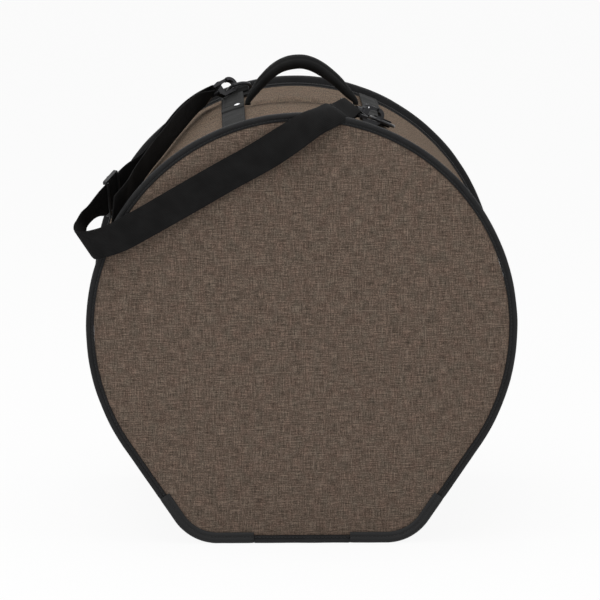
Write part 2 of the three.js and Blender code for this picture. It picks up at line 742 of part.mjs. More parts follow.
// A slider lies over both chain halves, with a lip beside the body's half and a bridge for its pull.
function sliderGeometry(degrees) {
  const halfLength = SLIDER_LENGTH / 2;
  const lipInner = CHAIN_HALF + GAP;
  const halfWidth = lipInner + SLIDER_LIP;
  const nose = halfWidth / 2;
  const plateShape = shapeOf([
    [-halfLength, -halfWidth],
    [halfLength - nose, -halfWidth],
    [halfLength, nose - halfWidth],
    [halfLength, halfWidth - nose],
    [halfLength - nose, halfWidth],
    [-halfLength, halfWidth],
  ]);
  const top = slab(plateShape, SLIDER_PLATE).rotateX(-Math.PI / 2).translate(0, -SLIDER_PLATE / 2, 0);
  const lipFoot = plateTop - wallInset + GAP + GAP;
  const lip = block(
    vec(-halfLength, lipFoot, lipInner),
    vec(halfLength - nose, -SLIDER_PLATE / 2, halfWidth),
  );
  const holeHalf = BRIDGE_HOLE / 2;
  const outerHalf = holeHalf + BRIDGE_BAR;
  const bridgeTop = BRIDGE_HEIGHT + BRIDGE_BAR;
  const arch = shapeOf([
    [-outerHalf, -SLIDER_PLATE / 2],
    [-holeHalf, -SLIDER_PLATE / 2],
    [-holeHalf, BRIDGE_HEIGHT],
    [holeHalf, BRIDGE_HEIGHT],
    [holeHalf, -SLIDER_PLATE / 2],
    [outerHalf, -SLIDER_PLATE / 2],
    [outerHalf, BRIDGE_HEIGHT],
    [holeHalf, bridgeTop],
    [-holeHalf, bridgeTop],
    [-outerHalf, BRIDGE_HEIGHT],
  ]);
  const { out, round } = rimDirections(degrees);
  const slider = joined([top, lip, slab(arch, BRIDGE_WIDTH)]);
  return slider.applyMatrix4(frameAt(rimPoint(degrees, plateTop, chainMiddle), round, out));
}

// A pull is a flat tag that hangs straight down, its top bar passed through the slider's bridge.
function pullGeometry(degrees) {
  const half = PULL_WIDTH / 2;
  const bar = PULL_THICKNESS / 2;
  const window = BRIDGE_WIDTH / 2 + PULL_CLEARANCE;
  const taper = half * PULL_TAPER_SHARE;
  const shoulder = -PULL_WINDOW - bar;
  const shape = new THREE.Shape();
  shape.moveTo(-half, bar);
  shape.lineTo(-half, shoulder);
  shape.lineTo(-taper, -PULL_LENGTH / 2);
  shape.absarc(0, half - PULL_LENGTH, half, Math.PI, 2 * Math.PI, false);
  shape.lineTo(taper, -PULL_LENGTH / 2);
  shape.lineTo(half, shoulder);
  shape.lineTo(half, bar);
  shape.holes.push(
    pathOf([
      [-window, -bar],
      [window, -bar],
      [window, -PULL_WINDOW],
      [-window, -PULL_WINDOW],
    ]),
  );
  const hang = rimPoint(degrees, plateTop - BRIDGE_HEIGHT / 2, chainMiddle);
  return slab(shape, PULL_THICKNESS).applyMatrix4(frameAt(hang, vec(0, 1, 0), vec(0, 0, 1)));
}

const ringHalf = (RING_INNER_WIDTH + RING_WIRE) / 2;
const tabRadius = RING_WIRE / 2 + GAP + WEBBING;

// Top of the bag: vinyl strips, the ends of the handle's webbing, rivets and the handle

// A strip of the wall's top between two angles, each point an angle, an inset and a depth.
function alongTop(sections) {
  return loft(sections.map((section) => section.map(([degrees, inset, y]) => rimPoint(degrees, inset, y))));
}

// A vinyl strip is stitched down along its outer edge and open towards the handle.
function patchGeometry([outer, inner], depths) {
  const under = wallInset - PATCH_RISE;
  const bevel = THREE.MathUtils.radToDeg(PATCH_BEVEL / RIM_RADIUS) * Math.sign(inner - outer);
  const wall = THREE.MathUtils.radToDeg(VINYL / RIM_RADIUS) * Math.sign(inner - outer);
  const middle = (outer + inner) / 2;
  const sections = depths.map(([y, hump, open]) => {
    const low = under - hump;
    const top = low - VINYL;
    const foot = open ? low + GAP : wallInset - GAP;
    return [
      [outer, foot, y],
      [outer, top + PATCH_BEVEL, y],
      [outer + bevel, top, y],
      [middle, top, y],
      [inner - bevel, top, y],
      [inner, top + PATCH_BEVEL / 2, y],
      [inner, low, y],
      [middle, low, y],
      [outer + wall, low, y],
      [outer + wall, foot, y],
    ];
  });
  return alongTop(sections);
}

function footGeometry([from, to]) {
  const half = HANDLE_FOOT_WIDTH / 2;
  const low = wallInset - GAP;
  const high = low - WEBBING - WEBBING;
  const middle = (from + to) / 2;
  const sections = [-half, half].map((y) => [
    [from, low, y],
    [middle, low, y],
    [to, low, y],
    [to, high, y],
    [middle, high, y],
    [from, high, y],
  ]);
  return alongTop(sections);
}

function rivetGeometry(degrees) {
  const seat = wallInset - PATCH_RISE - PATCH_HUMP - VINYL - GAP;
  const profile = [
    new THREE.Vector2(0, 0),
    new THREE.Vector2(RIVET_RADIUS, 0),
    new THREE.Vector2(RIVET_RADIUS, RIVET_HEIGHT / 4),
    new THREE.Vector2(RIVET_RADIUS * Math.SQRT1_2, RIVET_HEIGHT * Math.SQRT1_2),
    new THREE.Vector2(0, RIVET_HEIGHT),
  ];
  const head = new THREE.LatheGeometry(profile, 12);
  const { out, round } = rimDirections(degrees);
  return head.applyMatrix4(frameAt(rimPoint(degrees, seat, 0), round, out));
}

// A padded handle with an oval section, slimmed to a rounded toe at each end where it hinges.
function handleGeometry() {
  const [left, right] = HANDLE_FEET;
  const centre = HANDLE_SHARES.map(([along, rise]) =>
    vec(mix(left, right, along), 0, HANDLE_HINGE_HEIGHT + HANDLE_RISE * rise),
  );
  const oval = (middle, thickDirection, thickness, width) => {
    const ring = [];
    for (let i = 0; i < HANDLE_SIDES; i++) {
      const angle = (i / HANDLE_SIDES) * 2 * Math.PI;
      const p = middle.clone().addScaledVector(thickDirection, (Math.cos(angle) * thickness) / 2);
      ring.push(p.setY((Math.sin(angle) * width) / 2));
    }
    return ring;
  };
  const rings = centre.map((p, i) => {
    const along = centre[Math.min(i + 1, centre.length - 1)].clone().sub(centre[Math.max(i - 1, 0)]);
    if (i === 0) along.set(0, 0, 1);
    if (i === centre.length - 1) along.set(0, 0, -1);
    const across = vec(-along.z, 0, along.x).normalize();
    const [, , thickness, width] = HANDLE_SHARES[i];
    return oval(p, across, HANDLE_THICKNESS * thickness, HANDLE_WIDTH * width);
  });
  const toe = (x, direction) =>
    HANDLE_TOE_SHARES.map(([drop, half]) => {
      const p = vec(x, 0, HANDLE_HINGE_HEIGHT - HANDLE_FOOT_RADIUS * drop);
      const thickness = HANDLE_THICKNESS * HANDLE_SHARES[0][2];
      return oval(p, vec(direction, 0, 0), thickness, 2 * HANDLE_FOOT_RADIUS * half);
    });
  return loft([...toe(left, -1), ...rings, ...toe(right, 1).reverse()]);
}

function makeTop() {
  const rear = wallEnd - GAP;
  const leftRear = RING_LEFT_DEPTH - 2 * tabRadius - PATCH_BEVEL / 2;
  const half = HANDLE_FOOT_WIDTH / 2;
  const near = half + PATCH_RISE / 2;
  const far = near + PATCH_HUMP_RUN;
  const crease = CREASE_PLACE_SHARE * halfDepth;
  const hump = [
    [-far, 0],
    [-near, PATCH_HUMP],
    [near, PATCH_HUMP],
  ];
  const leftDepths = [
    [endDepth(-1, wallStart + GAP), 0],
    ...hump,
    [far, 0],
    [crease, -PATCH_CREASE],
    [crease + half, 0],
    [leftRear, 0],
  ];
  const open = PATCH_OPEN_LENGTH - PATCH_RIGHT_FRONT;
  const rightDepths = [
    [-PATCH_RIGHT_FRONT, 0, true],
    [open, 0, true],
    [open + PATCH_RISE, 0],
    ...hump,
    [far, 0],
    [rear, 0],
  ];
  piece("handle_patch_left", patchGeometry(PATCH_LEFT_DEGREES, leftDepths), GREY_VINYL);
  piece("handle_patch_right", patchGeometry(PATCH_RIGHT_DEGREES, rightDepths), GREY_VINYL);
  piece("handle_foot_left", footGeometry(FOOT_LEFT_DEGREES), BLACK_WEBBING);
  piece("handle_foot_right", footGeometry(FOOT_RIGHT_DEGREES), BLACK_WEBBING);
  piece("handle_rivet_left", rivetGeometry(RIVET_LEFT_DEGREES), BRIGHT_METAL);
  piece("handle_rivet_right", rivetGeometry(RIVET_RIGHT_DEGREES), BRIGHT_METAL);
  piece("top_handle", handleGeometry(), BLACK_WEBBING);
}

// Side grab handle: a flat webbing bow whose ends lie under two vinyl patches

function makeSideHandle() {
  const arcStart = LEFT_CAP_TOP + 1;
  const [from, to] = SIDE_HANDLE_ARC_SHARES.map((share) => arcStart + ARC_STEPS * share);
  const low = wallInset - GAP;
  const stops = range(from, to);
  const places = [from];
  for (let i = 1; i < stops.length; i++) {
    for (const share of SIDE_HANDLE_STEP_SHARES) places.push(mix(stops[i - 1], stops[i], share));
  }
  const front = -SIDE_HANDLE_FORWARD - SIDE_HANDLE_WIDTH / 2;
  const section = (k) => {
    const share = (k - from) / (to - from);
    const rise = smooth(share, SIDE_HANDLE_FLAT_SHARE, 0.5) * smooth(1 - share, SIDE_HANDLE_FLAT_SHARE, 0.5);
    const inner = low - SIDE_HANDLE_RISE * rise;
    return rectangle(inner - SIDE_HANDLE_THICKNESS, inner, front, front + SIDE_HANDLE_WIDTH);
  };
  piece("side_handle", sweep(places, section), BLACK_WEBBING);
  const patchInner = low - SIDE_HANDLE_THICKNESS - GAP;
  const edge = SIDE_PATCH_MARGIN;
  const patchSection = () =>
    rectangle(patchInner - VINYL, patchInner, front - edge, front + SIDE_HANDLE_WIDTH + edge);
  const reach = (to - from) * SIDE_HANDLE_FLAT_SHARE;
  piece("side_patch_upper", sweep([from, from + reach], patchSection), BLACK_VINYL);
  piece("side_patch_lower", sweep([to - reach, to], patchSection), BLACK_VINYL);
}

// D-rings: a wire bent to a D, its straight bar held by a webbing tab

const LEFT_RING = {
  degrees: RING_LEFT_DEGREES,
  tilt: RING_LEFT_TILT_DEGREES,
  rise: RING_LEFT_RISE,
  y: RING_LEFT_DEPTH,
  tailSide: -1,
  tail: TAB_LEFT_TAIL,
  slope: TAB_LEFT_SLOPE,
};
const RIGHT_RING = {
  degrees: RING_RIGHT_DEGREES,
  tilt: RING_RIGHT_TILT_DEGREES,
  rise: RING_RIGHT_RISE,
  y: RING_RIGHT_DEPTH,
  tailSide: 1,
  tail: TAB_RIGHT_TAIL,
  slope: TAB_RIGHT_SLOPE,
};

// A closed ring of round wire through points of a plane.
function wireRing(points, radius, normal) {
  const rings = points.map((p, i) => {
    const before = points[(i + points.length - 1) % points.length];
    const after = points[(i + 1) % points.length];
    const into = p.clone().sub(before).normalize();
    const away = after.clone().sub(p).normalize();
    const side = into.add(away).normalize().cross(normal);
    const ring = [];
    for (let j = 0; j < WIRE_SIDES; j++) {
      const angle = (j / WIRE_SIDES) * 2 * Math.PI;
      const spoke = side.clone().multiplyScalar(Math.cos(angle) * radius);
      ring.push(p.clone().add(spoke).addScaledVector(normal, Math.sin(angle) * radius));
    }
    return ring;
  });
  return loft(rings, true);
}

function ringPlane(ring) {
  const { out, round } = rimDirections(ring.degrees);
  const tilt = THREE.MathUtils.degToRad(ring.tilt);
  const reach = vec(0, -Math.cos(tilt), 0).addScaledVector(out, Math.sin(tilt));
  return { out, round, reach, bar: rimPoint(ring.degrees, wallInset - ring.rise, ring.y) };
}

function ringArcPoint({ bar, round, reach }, degrees) {
  const angle = THREE.MathUtils.degToRad(degrees);
  const along = RING_SIDE + RING_ARC * Math.sin(angle);
  return bar.clone().addScaledVector(round, -ringHalf * Math.cos(angle)).addScaledVector(reach, along);
}

function ringArcDirection({ round, reach }, degrees) {
  const angle = THREE.MathUtils.degToRad(degrees);
  const direction = round.clone().multiplyScalar(ringHalf * Math.sin(angle));
  return direction.addScaledVector(reach, RING_ARC * Math.cos(angle));
}

function ringGeometry(ring) {
  const plane = ringPlane(ring);
  const { bar, round, reach } = plane;
  const corner = RING_WIRE / 2;
  const at = (x, y) => bar.clone().addScaledVector(round, x).addScaledVector(reach, y);
  const points = [at(ringHalf, corner), at(ringHalf - corner, 0), at(corner - ringHalf, 0)];
  points.push(at(-ringHalf, corner));
  for (let degrees = 0; degrees <= 180; degrees += 15) points.push(ringArcPoint(plane, degrees));
  return wireRing(points, RING_WIRE / 2, round.clone().cross(reach));
}

// A tab is a webbing loop sewn flat behind its ring's bar, its tail held under the vinyl strip.
function tabGeometry(ring) {
  const { out, bar } = ringPlane(ring);
  const bore = RING_WIRE / 2 + GAP;
  const outer = tabRadius;
  const low = GAP - ring.rise;
  const high = Math.max(low, -outer) + WEBBING;
  const shape = new THREE.Shape();
  shape.moveTo(ring.tail, low);
  shape.lineTo(ring.slope, low);
  shape.lineTo(outer, Math.max(low, -outer));
  shape.absarc(0, 0, outer, -Math.PI / 2, (-Math.PI * 7) / 4, true);
  shape.lineTo(outer + outer, high);
  shape.lineTo(ring.slope, low + WEBBING);
  shape.lineTo(ring.tail, low + WEBBING);
  shape.holes.push(new THREE.Path().absarc(0, 0, bore, 0, 2 * Math.PI, false));
  return slab(shape, TAB_WIDTH).applyMatrix4(frameAt(bar, vec(0, ring.tailSide, 0), out));
}

// Snap hooks: an eye that holds the webbing, a swivelling hook, and a gate on a pin

const eyeEnd = EYE_BAR / 2 + EYE_SLOT + EYE_CROSSBAR;
const bossEnd = eyeEnd + EYE_BOSS;
const collarStart = bossEnd + GAP;
const blockStart = collarStart + COLLAR_LENGTH;
const openingStart = blockStart + HOOK_BLOCK;
const noseCentre = openingStart + HOOK_OPENING;
const noseInner = HOOK_NOSE_RADIUS - HOOK_WALL;
const gripReach = noseCentre - GAP;
const pivotU = openingStart - GATE_PIVOT_RADIUS - GAP;
const pivotV = HOOK_NOSE_RADIUS - GATE_PIVOT_RADIUS;

// Where a hook lies: u runs along it from its eye to the ring, out leaves the bag.
function hookPlace(ring, [x, y, z, ...across]) {
  const plane = ringPlane(ring);
  const seat = ringArcPoint(plane, RING_GRIP_DEGREES).addScaledVector(plane.out, HOOK_SEAT);
  const aim = routePoint([x, y, z]);
  const u = seat.clone().sub(aim).normalize();
  const eye = seat.clone().addScaledVector(u, -gripReach);
  const out = ringArcDirection(plane, RING_GRIP_DEGREES).cross(u).normalize();
  return { u, eye, out, across: squareTo(vec(...across), u) };
}

function eyeGeometry({ u, eye, across }) {
  const half = STRAP_WIDTH / 2 + EYE_BAR;
  const bar = EYE_BAR / 2;
  const shape = shapeOf([
    [-bar, -half],
    [bar, -half - bar],
    [eyeEnd - bar, -half - bar],
    [eyeEnd, bar - half],
    [eyeEnd, half - bar],
    [eyeEnd - bar, half + bar],
    [bar, half + bar],
    [-bar, half],
  ]);
  const slot = half - bar;
  shape.holes.push(
    pathOf([
      [bar, -slot],
      [bar, slot],
      [bar + EYE_SLOT, slot],
      [bar + EYE_SLOT, -slot],
    ]),
  );
  const bossStart = eyeEnd - EYE_CROSSBAR + GAP;
  const boss = rod(vec(bossStart, 0, 0), vec(bossEnd, 0, 0), BOSS_RADIUS);
  const bore = rod(vec(bossStart + VINYL, 0, 0), vec(bossEnd + VINYL, 0, 0), STEM_RADIUS + STEM_CLEARANCE);
  const body = cut(joined([slab(shape, EYE_BAR), boss]), [bore]);
  return body.applyMatrix4(frameAt(eye, u, across));
}

function hookGeometry({ u, eye, out }) {
  const nose = HOOK_NOSE_RADIUS;
  const shoulder = blockStart + HOOK_WALL;
  const tip = noseCentre - HOOK_WALL / 4;
  const overlap = COLLAR_LENGTH / 2;
  const shape = new THREE.Shape();
  shape.moveTo(blockStart - overlap, -COLLAR_RADIUS);
  shape.lineTo(blockStart, -COLLAR_RADIUS);
  shape.lineTo(shoulder, -nose);
  shape.absarc(noseCentre, 0, nose, -Math.PI / 2, Math.PI / 2, false);
  shape.lineTo(tip, nose);
  shape.lineTo(tip, noseInner);
  shape.absarc(noseCentre, 0, noseInner, Math.PI / 2, -Math.PI / 2, true);
  shape.lineTo(openingStart, -noseInner);
  shape.lineTo(openingStart, nose);
  shape.lineTo(shoulder, nose);
  shape.lineTo(blockStart, COLLAR_RADIUS);
  shape.lineTo(blockStart - overlap, COLLAR_RADIUS);
  const stemStart = eyeEnd - EYE_CROSSBAR + GAP + VINYL + GAP;
  const stem = rod(vec(stemStart, 0, 0), vec(blockStart, 0, 0), STEM_RADIUS);
  const collar = rod(vec(collarStart, 0, 0), vec(blockStart, 0, 0), COLLAR_RADIUS);
  const cheek = GATE_THICKNESS / 2 + GAP;
  const slot = block(
    vec(pivotU - GATE_PIVOT_RADIUS - GAP, pivotV - GATE_PIVOT_RADIUS - GATE_BAR / 2, -cheek),
    vec(openingStart + GAP, nose + GAP, cheek),
  );
  const hole = pinAt(PIN_RADIUS + GAP, HOOK_THICKNESS);
  const body = cut(joined([slab(shape, HOOK_THICKNESS), stem, collar]), [slot, hole]);
  return body.applyMatrix4(frameAt(eye, u, out));
}

// A round bar across the hook at the gate's pivot.
function pinAt(radius, half) {
  return rod(vec(pivotU, pivotV, -half), vec(pivotU, pivotV, half), radius);
}

function gateGeometry({ u, eye, out }) {
  const tip = noseCentre - HOOK_WALL / 4 - GAP;
  const top = HOOK_NOSE_RADIUS - GAP;
  const shape = new THREE.Shape();
  shape.absarc(pivotU, pivotV, GATE_PIVOT_RADIUS, Math.PI * 0.6, Math.PI * 1.7, false);
  shape.lineTo(tip, top - GATE_BAR);
  shape.lineTo(tip, top);
  const body = cut(slab(shape, GATE_THICKNESS), [pinAt(PIN_RADIUS + GAP, HOOK_THICKNESS)]);
  return body.applyMatrix4(frameAt(eye, u, out));
}

function makeHooks() {
  const mounts = [
    ["left", LEFT_RING, EYE_LEFT_SHARES],
    ["right", RIGHT_RING, EYE_RIGHT_SHARES],
  ];
  for (const [label, ring, eyeShares] of mounts) {
    const place = hookPlace(ring, eyeShares);
    piece("dring_" + label, ringGeometry(ring), DARK_METAL);
    piece("dring_tab_" + label, tabGeometry(ring), BLACK_WEBBING);
    piece("hook_eye_" + label, eyeGeometry(place), DARK_METAL);
    piece("hook_" + label, hookGeometry(place), DARK_METAL);
    piece("hook_gate_" + label, gateGeometry(place), DARK_METAL);
    const pin = pinAt(PIN_RADIUS, HOOK_THICKNESS / 2 + GAP);
    piece("hook_pin_" + label, pin.applyMatrix4(frameAt(place.eye, place.u, place.out)), BRIGHT_METAL);
  }
}

// Shoulder strap: one length of webbing, looped round the bar of each hook's eye

function routePoint([x, y, z]) {
  return vec(x * RIM_RADIUS, y * halfDepth, CENTRE_HEIGHT + z * RIM_RADIUS);
}

function strapRow([x, y, z, ...rest]) {
  const crown = rest.pop() * STRAP_WIDTH;
  return { centre: routePoint([x, y, z]), across: vec(...rest).normalize(), crown };
}

// Gives each row its normal, which leaves the bag along the upper layer.
function withNormals(rows) {
  return rows.map((row, i) => {
    const before = rows[Math.max(i - 1, 0)].centre;
    const after = rows[Math.min(i + 1, rows.length - 1)].centre;
    const travel = after.clone().sub(before);
    return { ...row, normal: row.across.clone().cross(travel).normalize() };
  });
}

function layer(row, offset) {
  return { ...row, centre: row.centre.clone().addScaledVector(row.normal, offset) };
}

// The webbing's turn round an eye's bar, from its upper side to its lower one.
function eyeLoop({ eye, u, across }) {
  const upper = across.clone().cross(u);
  const rows = [];
  for (let i = 0; i <= LOOP_STEPS; i++) {
    const angle = (i / LOOP_STEPS) * Math.PI;
    const normal = u.clone().multiplyScalar(Math.sin(angle)).addScaledVector(upper, Math.cos(angle));
    rows.push({ centre: eye.clone().addScaledVector(normal, LOOP_RADIUS), across, crown: 0, normal });
  }
  return rows;
}

function strapGeometry() {
  const run = withNormals(STRAP_RUN_SHARES.map(strapRow));
  const back = withNormals(STRAP_RETURN_SHARES.map(strapRow));
  const rightLoop = eyeLoop(hookPlace(RIGHT_RING, EYE_RIGHT_SHARES));
  const leftLoop = eyeLoop(hookPlace(LEFT_RING, EYE_LEFT_SHARES));
  const upper = back.slice(0, STRAP_FOLDED_ROWS).map((row) => layer(row, -LAYER_STEP)).reverse();
  const flipped = upper.map((row) => ({ ...row, normal: row.normal.clone().negate() }));
  const end = layer(run[0], -LAYER_STEP);
  const start = { ...end, normal: end.normal.clone().negate() };
  const rows = [start, ...rightLoop, ...run, ...flipped, ...leftLoop, ...back];
  const shares = [-1, -0.5, 0, 0.5, 1];
  const rings = rows.map(({ centre, across, crown, normal }) => {
    const face = (side) =>
      shares.map((share) =>
        centre
          .clone()
          .addScaledVector(across, (share * STRAP_WIDTH) / 2)
          .addScaledVector(normal, crown * (1 - share * share) + (side * WEBBING) / 2),
      );
    return [...face(1), ...face(-1).reverse()];
  });
  return loft(rings, false, bandCap);
}

// The slide adjuster straddles the strap: two rails, and bars above and below the webbing.
function frameGeometry() {
  const lower = strapRow(STRAP_RUN_SHARES[STRAP_FRAME_ROW]);
  const upper = strapRow(STRAP_RUN_SHARES[STRAP_FRAME_ROW + 1]);
  const travel = upper.centre.clone().sub(lower.centre).normalize();
  const across = squareTo(lower.across, travel);
  const half = FRAME_LENGTH / 2;
  const inner = STRAP_WIDTH / 2 + FRAME_SIDE_CLEARANCE;
  const outer = inner + FRAME_RAIL;
  const lift = WEBBING / 2 + GAP + FRAME_BAR / 2;
  const rails = [-1, 1].map((side) =>
    slab(
      shapeOf([
        [-half, side * inner],
        [half, side * inner],
        [half, side * (outer - FRAME_RAIL / 4)],
        [half - FRAME_RAIL / 4, side * outer],
        [FRAME_RAIL / 4 - half, side * outer],
        [-half, side * (outer - FRAME_RAIL / 4)],
      ]),
      FRAME_RAIL_HEIGHT,
    ),
  );
  const end = inner + FRAME_RAIL / 2;
  const barAt = (x, z) => rod(vec(x, -end, z), vec(x, end, z), FRAME_BAR / 2, 10);
  const barPlace = half - FRAME_BAR / 2;
  const bars = [barAt(-barPlace, lift), barAt(0, -lift), barAt(barPlace, lift)];
  const origin = lower.centre.clone().addScaledVector(travel, half + FRAME_RAIL);
  return joined([...rails, ...bars]).applyMatrix4(frameAt(origin, travel, across));
}

makeFace(-1, "front");
makeFace(1, "back");
makeWall();
makeBase();
makeZip();
makeTop();
makeSideHandle();
makeHooks();
piece("shoulder_strap", strapGeometry(), BLACK_WEBBING);
piece("strap_slider", frameGeometry(), BLACK_PLASTIC);

const bag = new THREE.Group();
bag.name = "floor_tom_bag";
bag.add(...Object.values(nodes));

export default bag;
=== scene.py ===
# A padded bag for a floor tom, dressed in cloth, webbing, vinyl and metal around its frame.
# Lengths are in metres, +Z is up and the front face looks along -Y. An inset is a length from the rim inwards.
import math

import bmesh
import bpy
import numpy as np
from mathutils import Matrix, Vector, noise


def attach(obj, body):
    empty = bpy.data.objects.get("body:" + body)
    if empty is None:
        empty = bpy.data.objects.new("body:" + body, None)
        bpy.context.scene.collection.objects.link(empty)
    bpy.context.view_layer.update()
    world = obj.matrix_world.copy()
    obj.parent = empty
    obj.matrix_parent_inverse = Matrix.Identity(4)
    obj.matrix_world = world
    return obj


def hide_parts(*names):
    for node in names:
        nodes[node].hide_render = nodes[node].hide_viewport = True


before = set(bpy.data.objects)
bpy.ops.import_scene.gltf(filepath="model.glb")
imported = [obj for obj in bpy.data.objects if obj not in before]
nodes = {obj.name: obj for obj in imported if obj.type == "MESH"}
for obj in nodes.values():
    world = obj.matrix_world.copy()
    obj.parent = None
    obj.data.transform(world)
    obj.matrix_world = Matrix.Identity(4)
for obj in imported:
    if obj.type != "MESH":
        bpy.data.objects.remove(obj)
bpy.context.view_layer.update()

# The outline. A place on it is a distance round the rim, from the middle of the base to the left and up

RIM = 0.25
CENTRE = 0.254
HALF = 0.225
ROUND = 0.06
BASE_CORNER = 0.13
CAP_SHARE = 0.3
CAP_ALONG_BASE = 0.042
SIDE_ANGLE = math.atan(BASE_CORNER / CENTRE) + math.acos(RIM / math.hypot(BASE_CORNER, CENTRE))
SIDE_NORMAL = math.pi - SIDE_ANGLE
CORNER_X = (RIM - ROUND - (CENTRE - ROUND) * math.cos(SIDE_ANGLE)) / math.sin(SIDE_ANGLE)
CORNER_LENGTH = ROUND * SIDE_ANGLE
HIGH = (RIM * math.sin(SIDE_NORMAL), CENTRE + RIM * math.cos(SIDE_NORMAL))
LOW = (CORNER_X + ROUND * math.sin(SIDE_NORMAL), ROUND + ROUND * math.cos(SIDE_NORMAL))
SIDE_LENGTH = math.dist(HIGH, LOW)
S_SIDE = CORNER_X + CORNER_LENGTH
S_ARC = S_SIDE + SIDE_LENGTH
S_TOP = S_ARC + RIM * SIDE_NORMAL
TOTAL = 2 * S_TOP
CAP_TOP = S_SIDE + CAP_SHARE * SIDE_LENGTH
CAP_FOOT = CORNER_X - CAP_ALONG_BASE
ZIP_FROM = CORNER_X + CORNER_LENGTH / 4


def rim(s):
    """The rim's point and outward normal, each as (x, z)."""
    s = s % TOTAL
    if s > S_TOP:
        (x, z), (nx, nz) = rim(TOTAL - s)
        return (-x, z), (-nx, nz)
    if s < CORNER_X:
        return (-s, 0.0), (0.0, -1.0)
    if s < S_SIDE:
        a = math.pi - (s - CORNER_X) / ROUND
        n = (-math.sin(a), math.cos(a))
        return (-CORNER_X + ROUND * n[0], ROUND + ROUND * n[1]), n
    if s < S_ARC:
        t = (s - S_SIDE) / SIDE_LENGTH
        n = (-math.sin(SIDE_NORMAL), math.cos(SIDE_NORMAL))
        return (-LOW[0] + (LOW[0] - HIGH[0]) * t, LOW[1] + (HIGH[1] - LOW[1]) * t), n
    a = SIDE_NORMAL - (s - S_ARC) / RIM
    n = (-math.sin(a), math.cos(a))
    return (RIM * n[0], CENTRE + RIM * n[1]), n


def outward(s):
    nx, nz = rim(s)[1]
    return (nx, 0.0, nz)


def at(s, inset, y):
    (x, z), (nx, nz) = rim(s)
    return (x - nx * inset, y, z - nz * inset)


def round_at(degrees):
    """The rim distance at an angle clockwise from the top."""
    return S_TOP + math.radians(degrees) * RIM


def stops(start, end, step):
    return np.linspace(start, end, max(2, math.ceil(abs(end - start) / step) + 1))


def edged(start, end, step, margin=0.0006):
    """Stops with one more close to each end, where a strip thins out."""
    return np.concatenate([[start], stops(start + margin, end - margin, step), [end]])


def smooth(value, start, end):
    t = min(max((value - start) / (end - start), 0.0), 1.0)
    return t * t * (3 - 2 * t)


def band(value, rise, fall):
    """1 between a rise and a fall, each given as where it starts and ends."""
    return smooth(value, *rise) * (1 - smooth(value, *fall))


def tent(value, middle, half):
    return max(0.0, 1 - abs(value - middle) / half)


def ripple(x, y, z, scale, seed=0.0):
    return noise.noise(Vector((x * scale + seed, y * scale - seed, z * scale + 2 * seed)))


# Meshes

SHARP_DEGREES = 38
LOOP_STEP = 0.006


def finish_mesh(name, mesh, body, look, sharp=SHARP_DEGREES):
    """Gives a new mesh outward faces, soft shading with sharp creases, a material and a body to ride on."""
    bm = bmesh.new()
    bm.from_mesh(mesh)
    bmesh.ops.recalc_face_normals(bm, faces=bm.faces)
    limit = math.radians(sharp)
    for edge in bm.edges:
        edge.smooth = len(edge.link_faces) == 2 and edge.calc_face_angle(0) < limit
    for face in bm.faces:
        face.smooth = True
    bm.to_mesh(mesh)
    bm.free()
    mesh.materials.append(look)
    obj = bpy.data.objects.new(name, mesh)
    bpy.context.scene.collection.objects.link(obj)
    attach(obj, body)
    return obj


def spans(points, closed):
    points = np.asarray(points, float)
    after = np.roll(points, -1, 0) if closed else points[1:]
    before = points if closed else points[:-1]
    return np.concatenate([[0.0], np.cumsum(np.linalg.norm(after - before, axis=1))])


def grid(name, rings, body, look, closed=False, planar=False, sharp=SHARP_DEGREES):
    """A closed skin through rings of points. UV is in metres: along the rings' path and round each ring."""
    rings = np.asarray(rings, float)
    rows, cols = rings.shape[:2]
    u = spans(rings[:, 0], closed)
    v = spans(rings[rows // 2], True)
    faces, uvs = [], []
    for i in range(rows if closed else rows - 1):
        k = (i + 1) % rows
        for j in range(cols):
            m = (j + 1) % cols
            faces.append((i * cols + j, i * cols + m, k * cols + m, k * cols + j))
            uvs += [(u[i], v[j]), (u[i], v[j + 1]), (u[i + 1], v[j + 1]), (u[i + 1], v[j])]
    if not closed:
        last = (rows - 1) * cols
        for face in (tuple(range(cols))[::-1], tuple(range(last, last + cols))):
            faces.append(face)
            uvs += [(v[i % cols], 0.0) for i in face]
    mesh = bpy.data.meshes.new(name)
    flat = rings.reshape(-1, 3)
    mesh.from_pydata([tuple(p) for p in flat], [], faces)
    layer = mesh.uv_layers.new(name="metres")
    if planar:
        index = np.zeros(len(mesh.loops), np.int32)
        mesh.loops.foreach_get("vertex_index", index)
        uvs = flat[index][:, [0, 2]]
    layer.data.foreach_set("uv", np.asarray(uvs, np.float32).ravel())
    return finish_mesh(name, mesh, body, look, sharp)


def soften(points, cut):
    """A closed outline with each corner rounded."""
    points = np.asarray(points, float)
    made = []
    for before, corner, after in zip(np.roll(points, 1, 0), points, np.roll(points, -1, 0)):
        start, end = (
            corner + (other - corner) * min(cut / max(np.linalg.norm(other - corner), 1e-9), 0.45)
            for other in (before, after)
        )
        made += [start, 0.25 * start + 0.5 * corner + 0.25 * end, end]
    return np.array(made)


def sweep(name, distances, section, body, look, closed=False, sharp=SHARP_DEGREES):
    """A strip that follows the outline. section(s) gives pairs of inset and depth."""
    rings = [[at(s, inset, y) for inset, y in section(s)] for s in distances]
    return grid(name, rings, body, look, closed, sharp=sharp)


def slab_section(outer, inner, start, end, cut=0.0004):
    return soften([(outer, start), (outer, end), (inner, end), (inner, start)], cut)


def along(points):
    """Unit directions along a line of points."""
    way = np.gradient(np.asarray(points, float), axis=0)
    return way / np.linalg.norm(way, axis=1)[:, None]


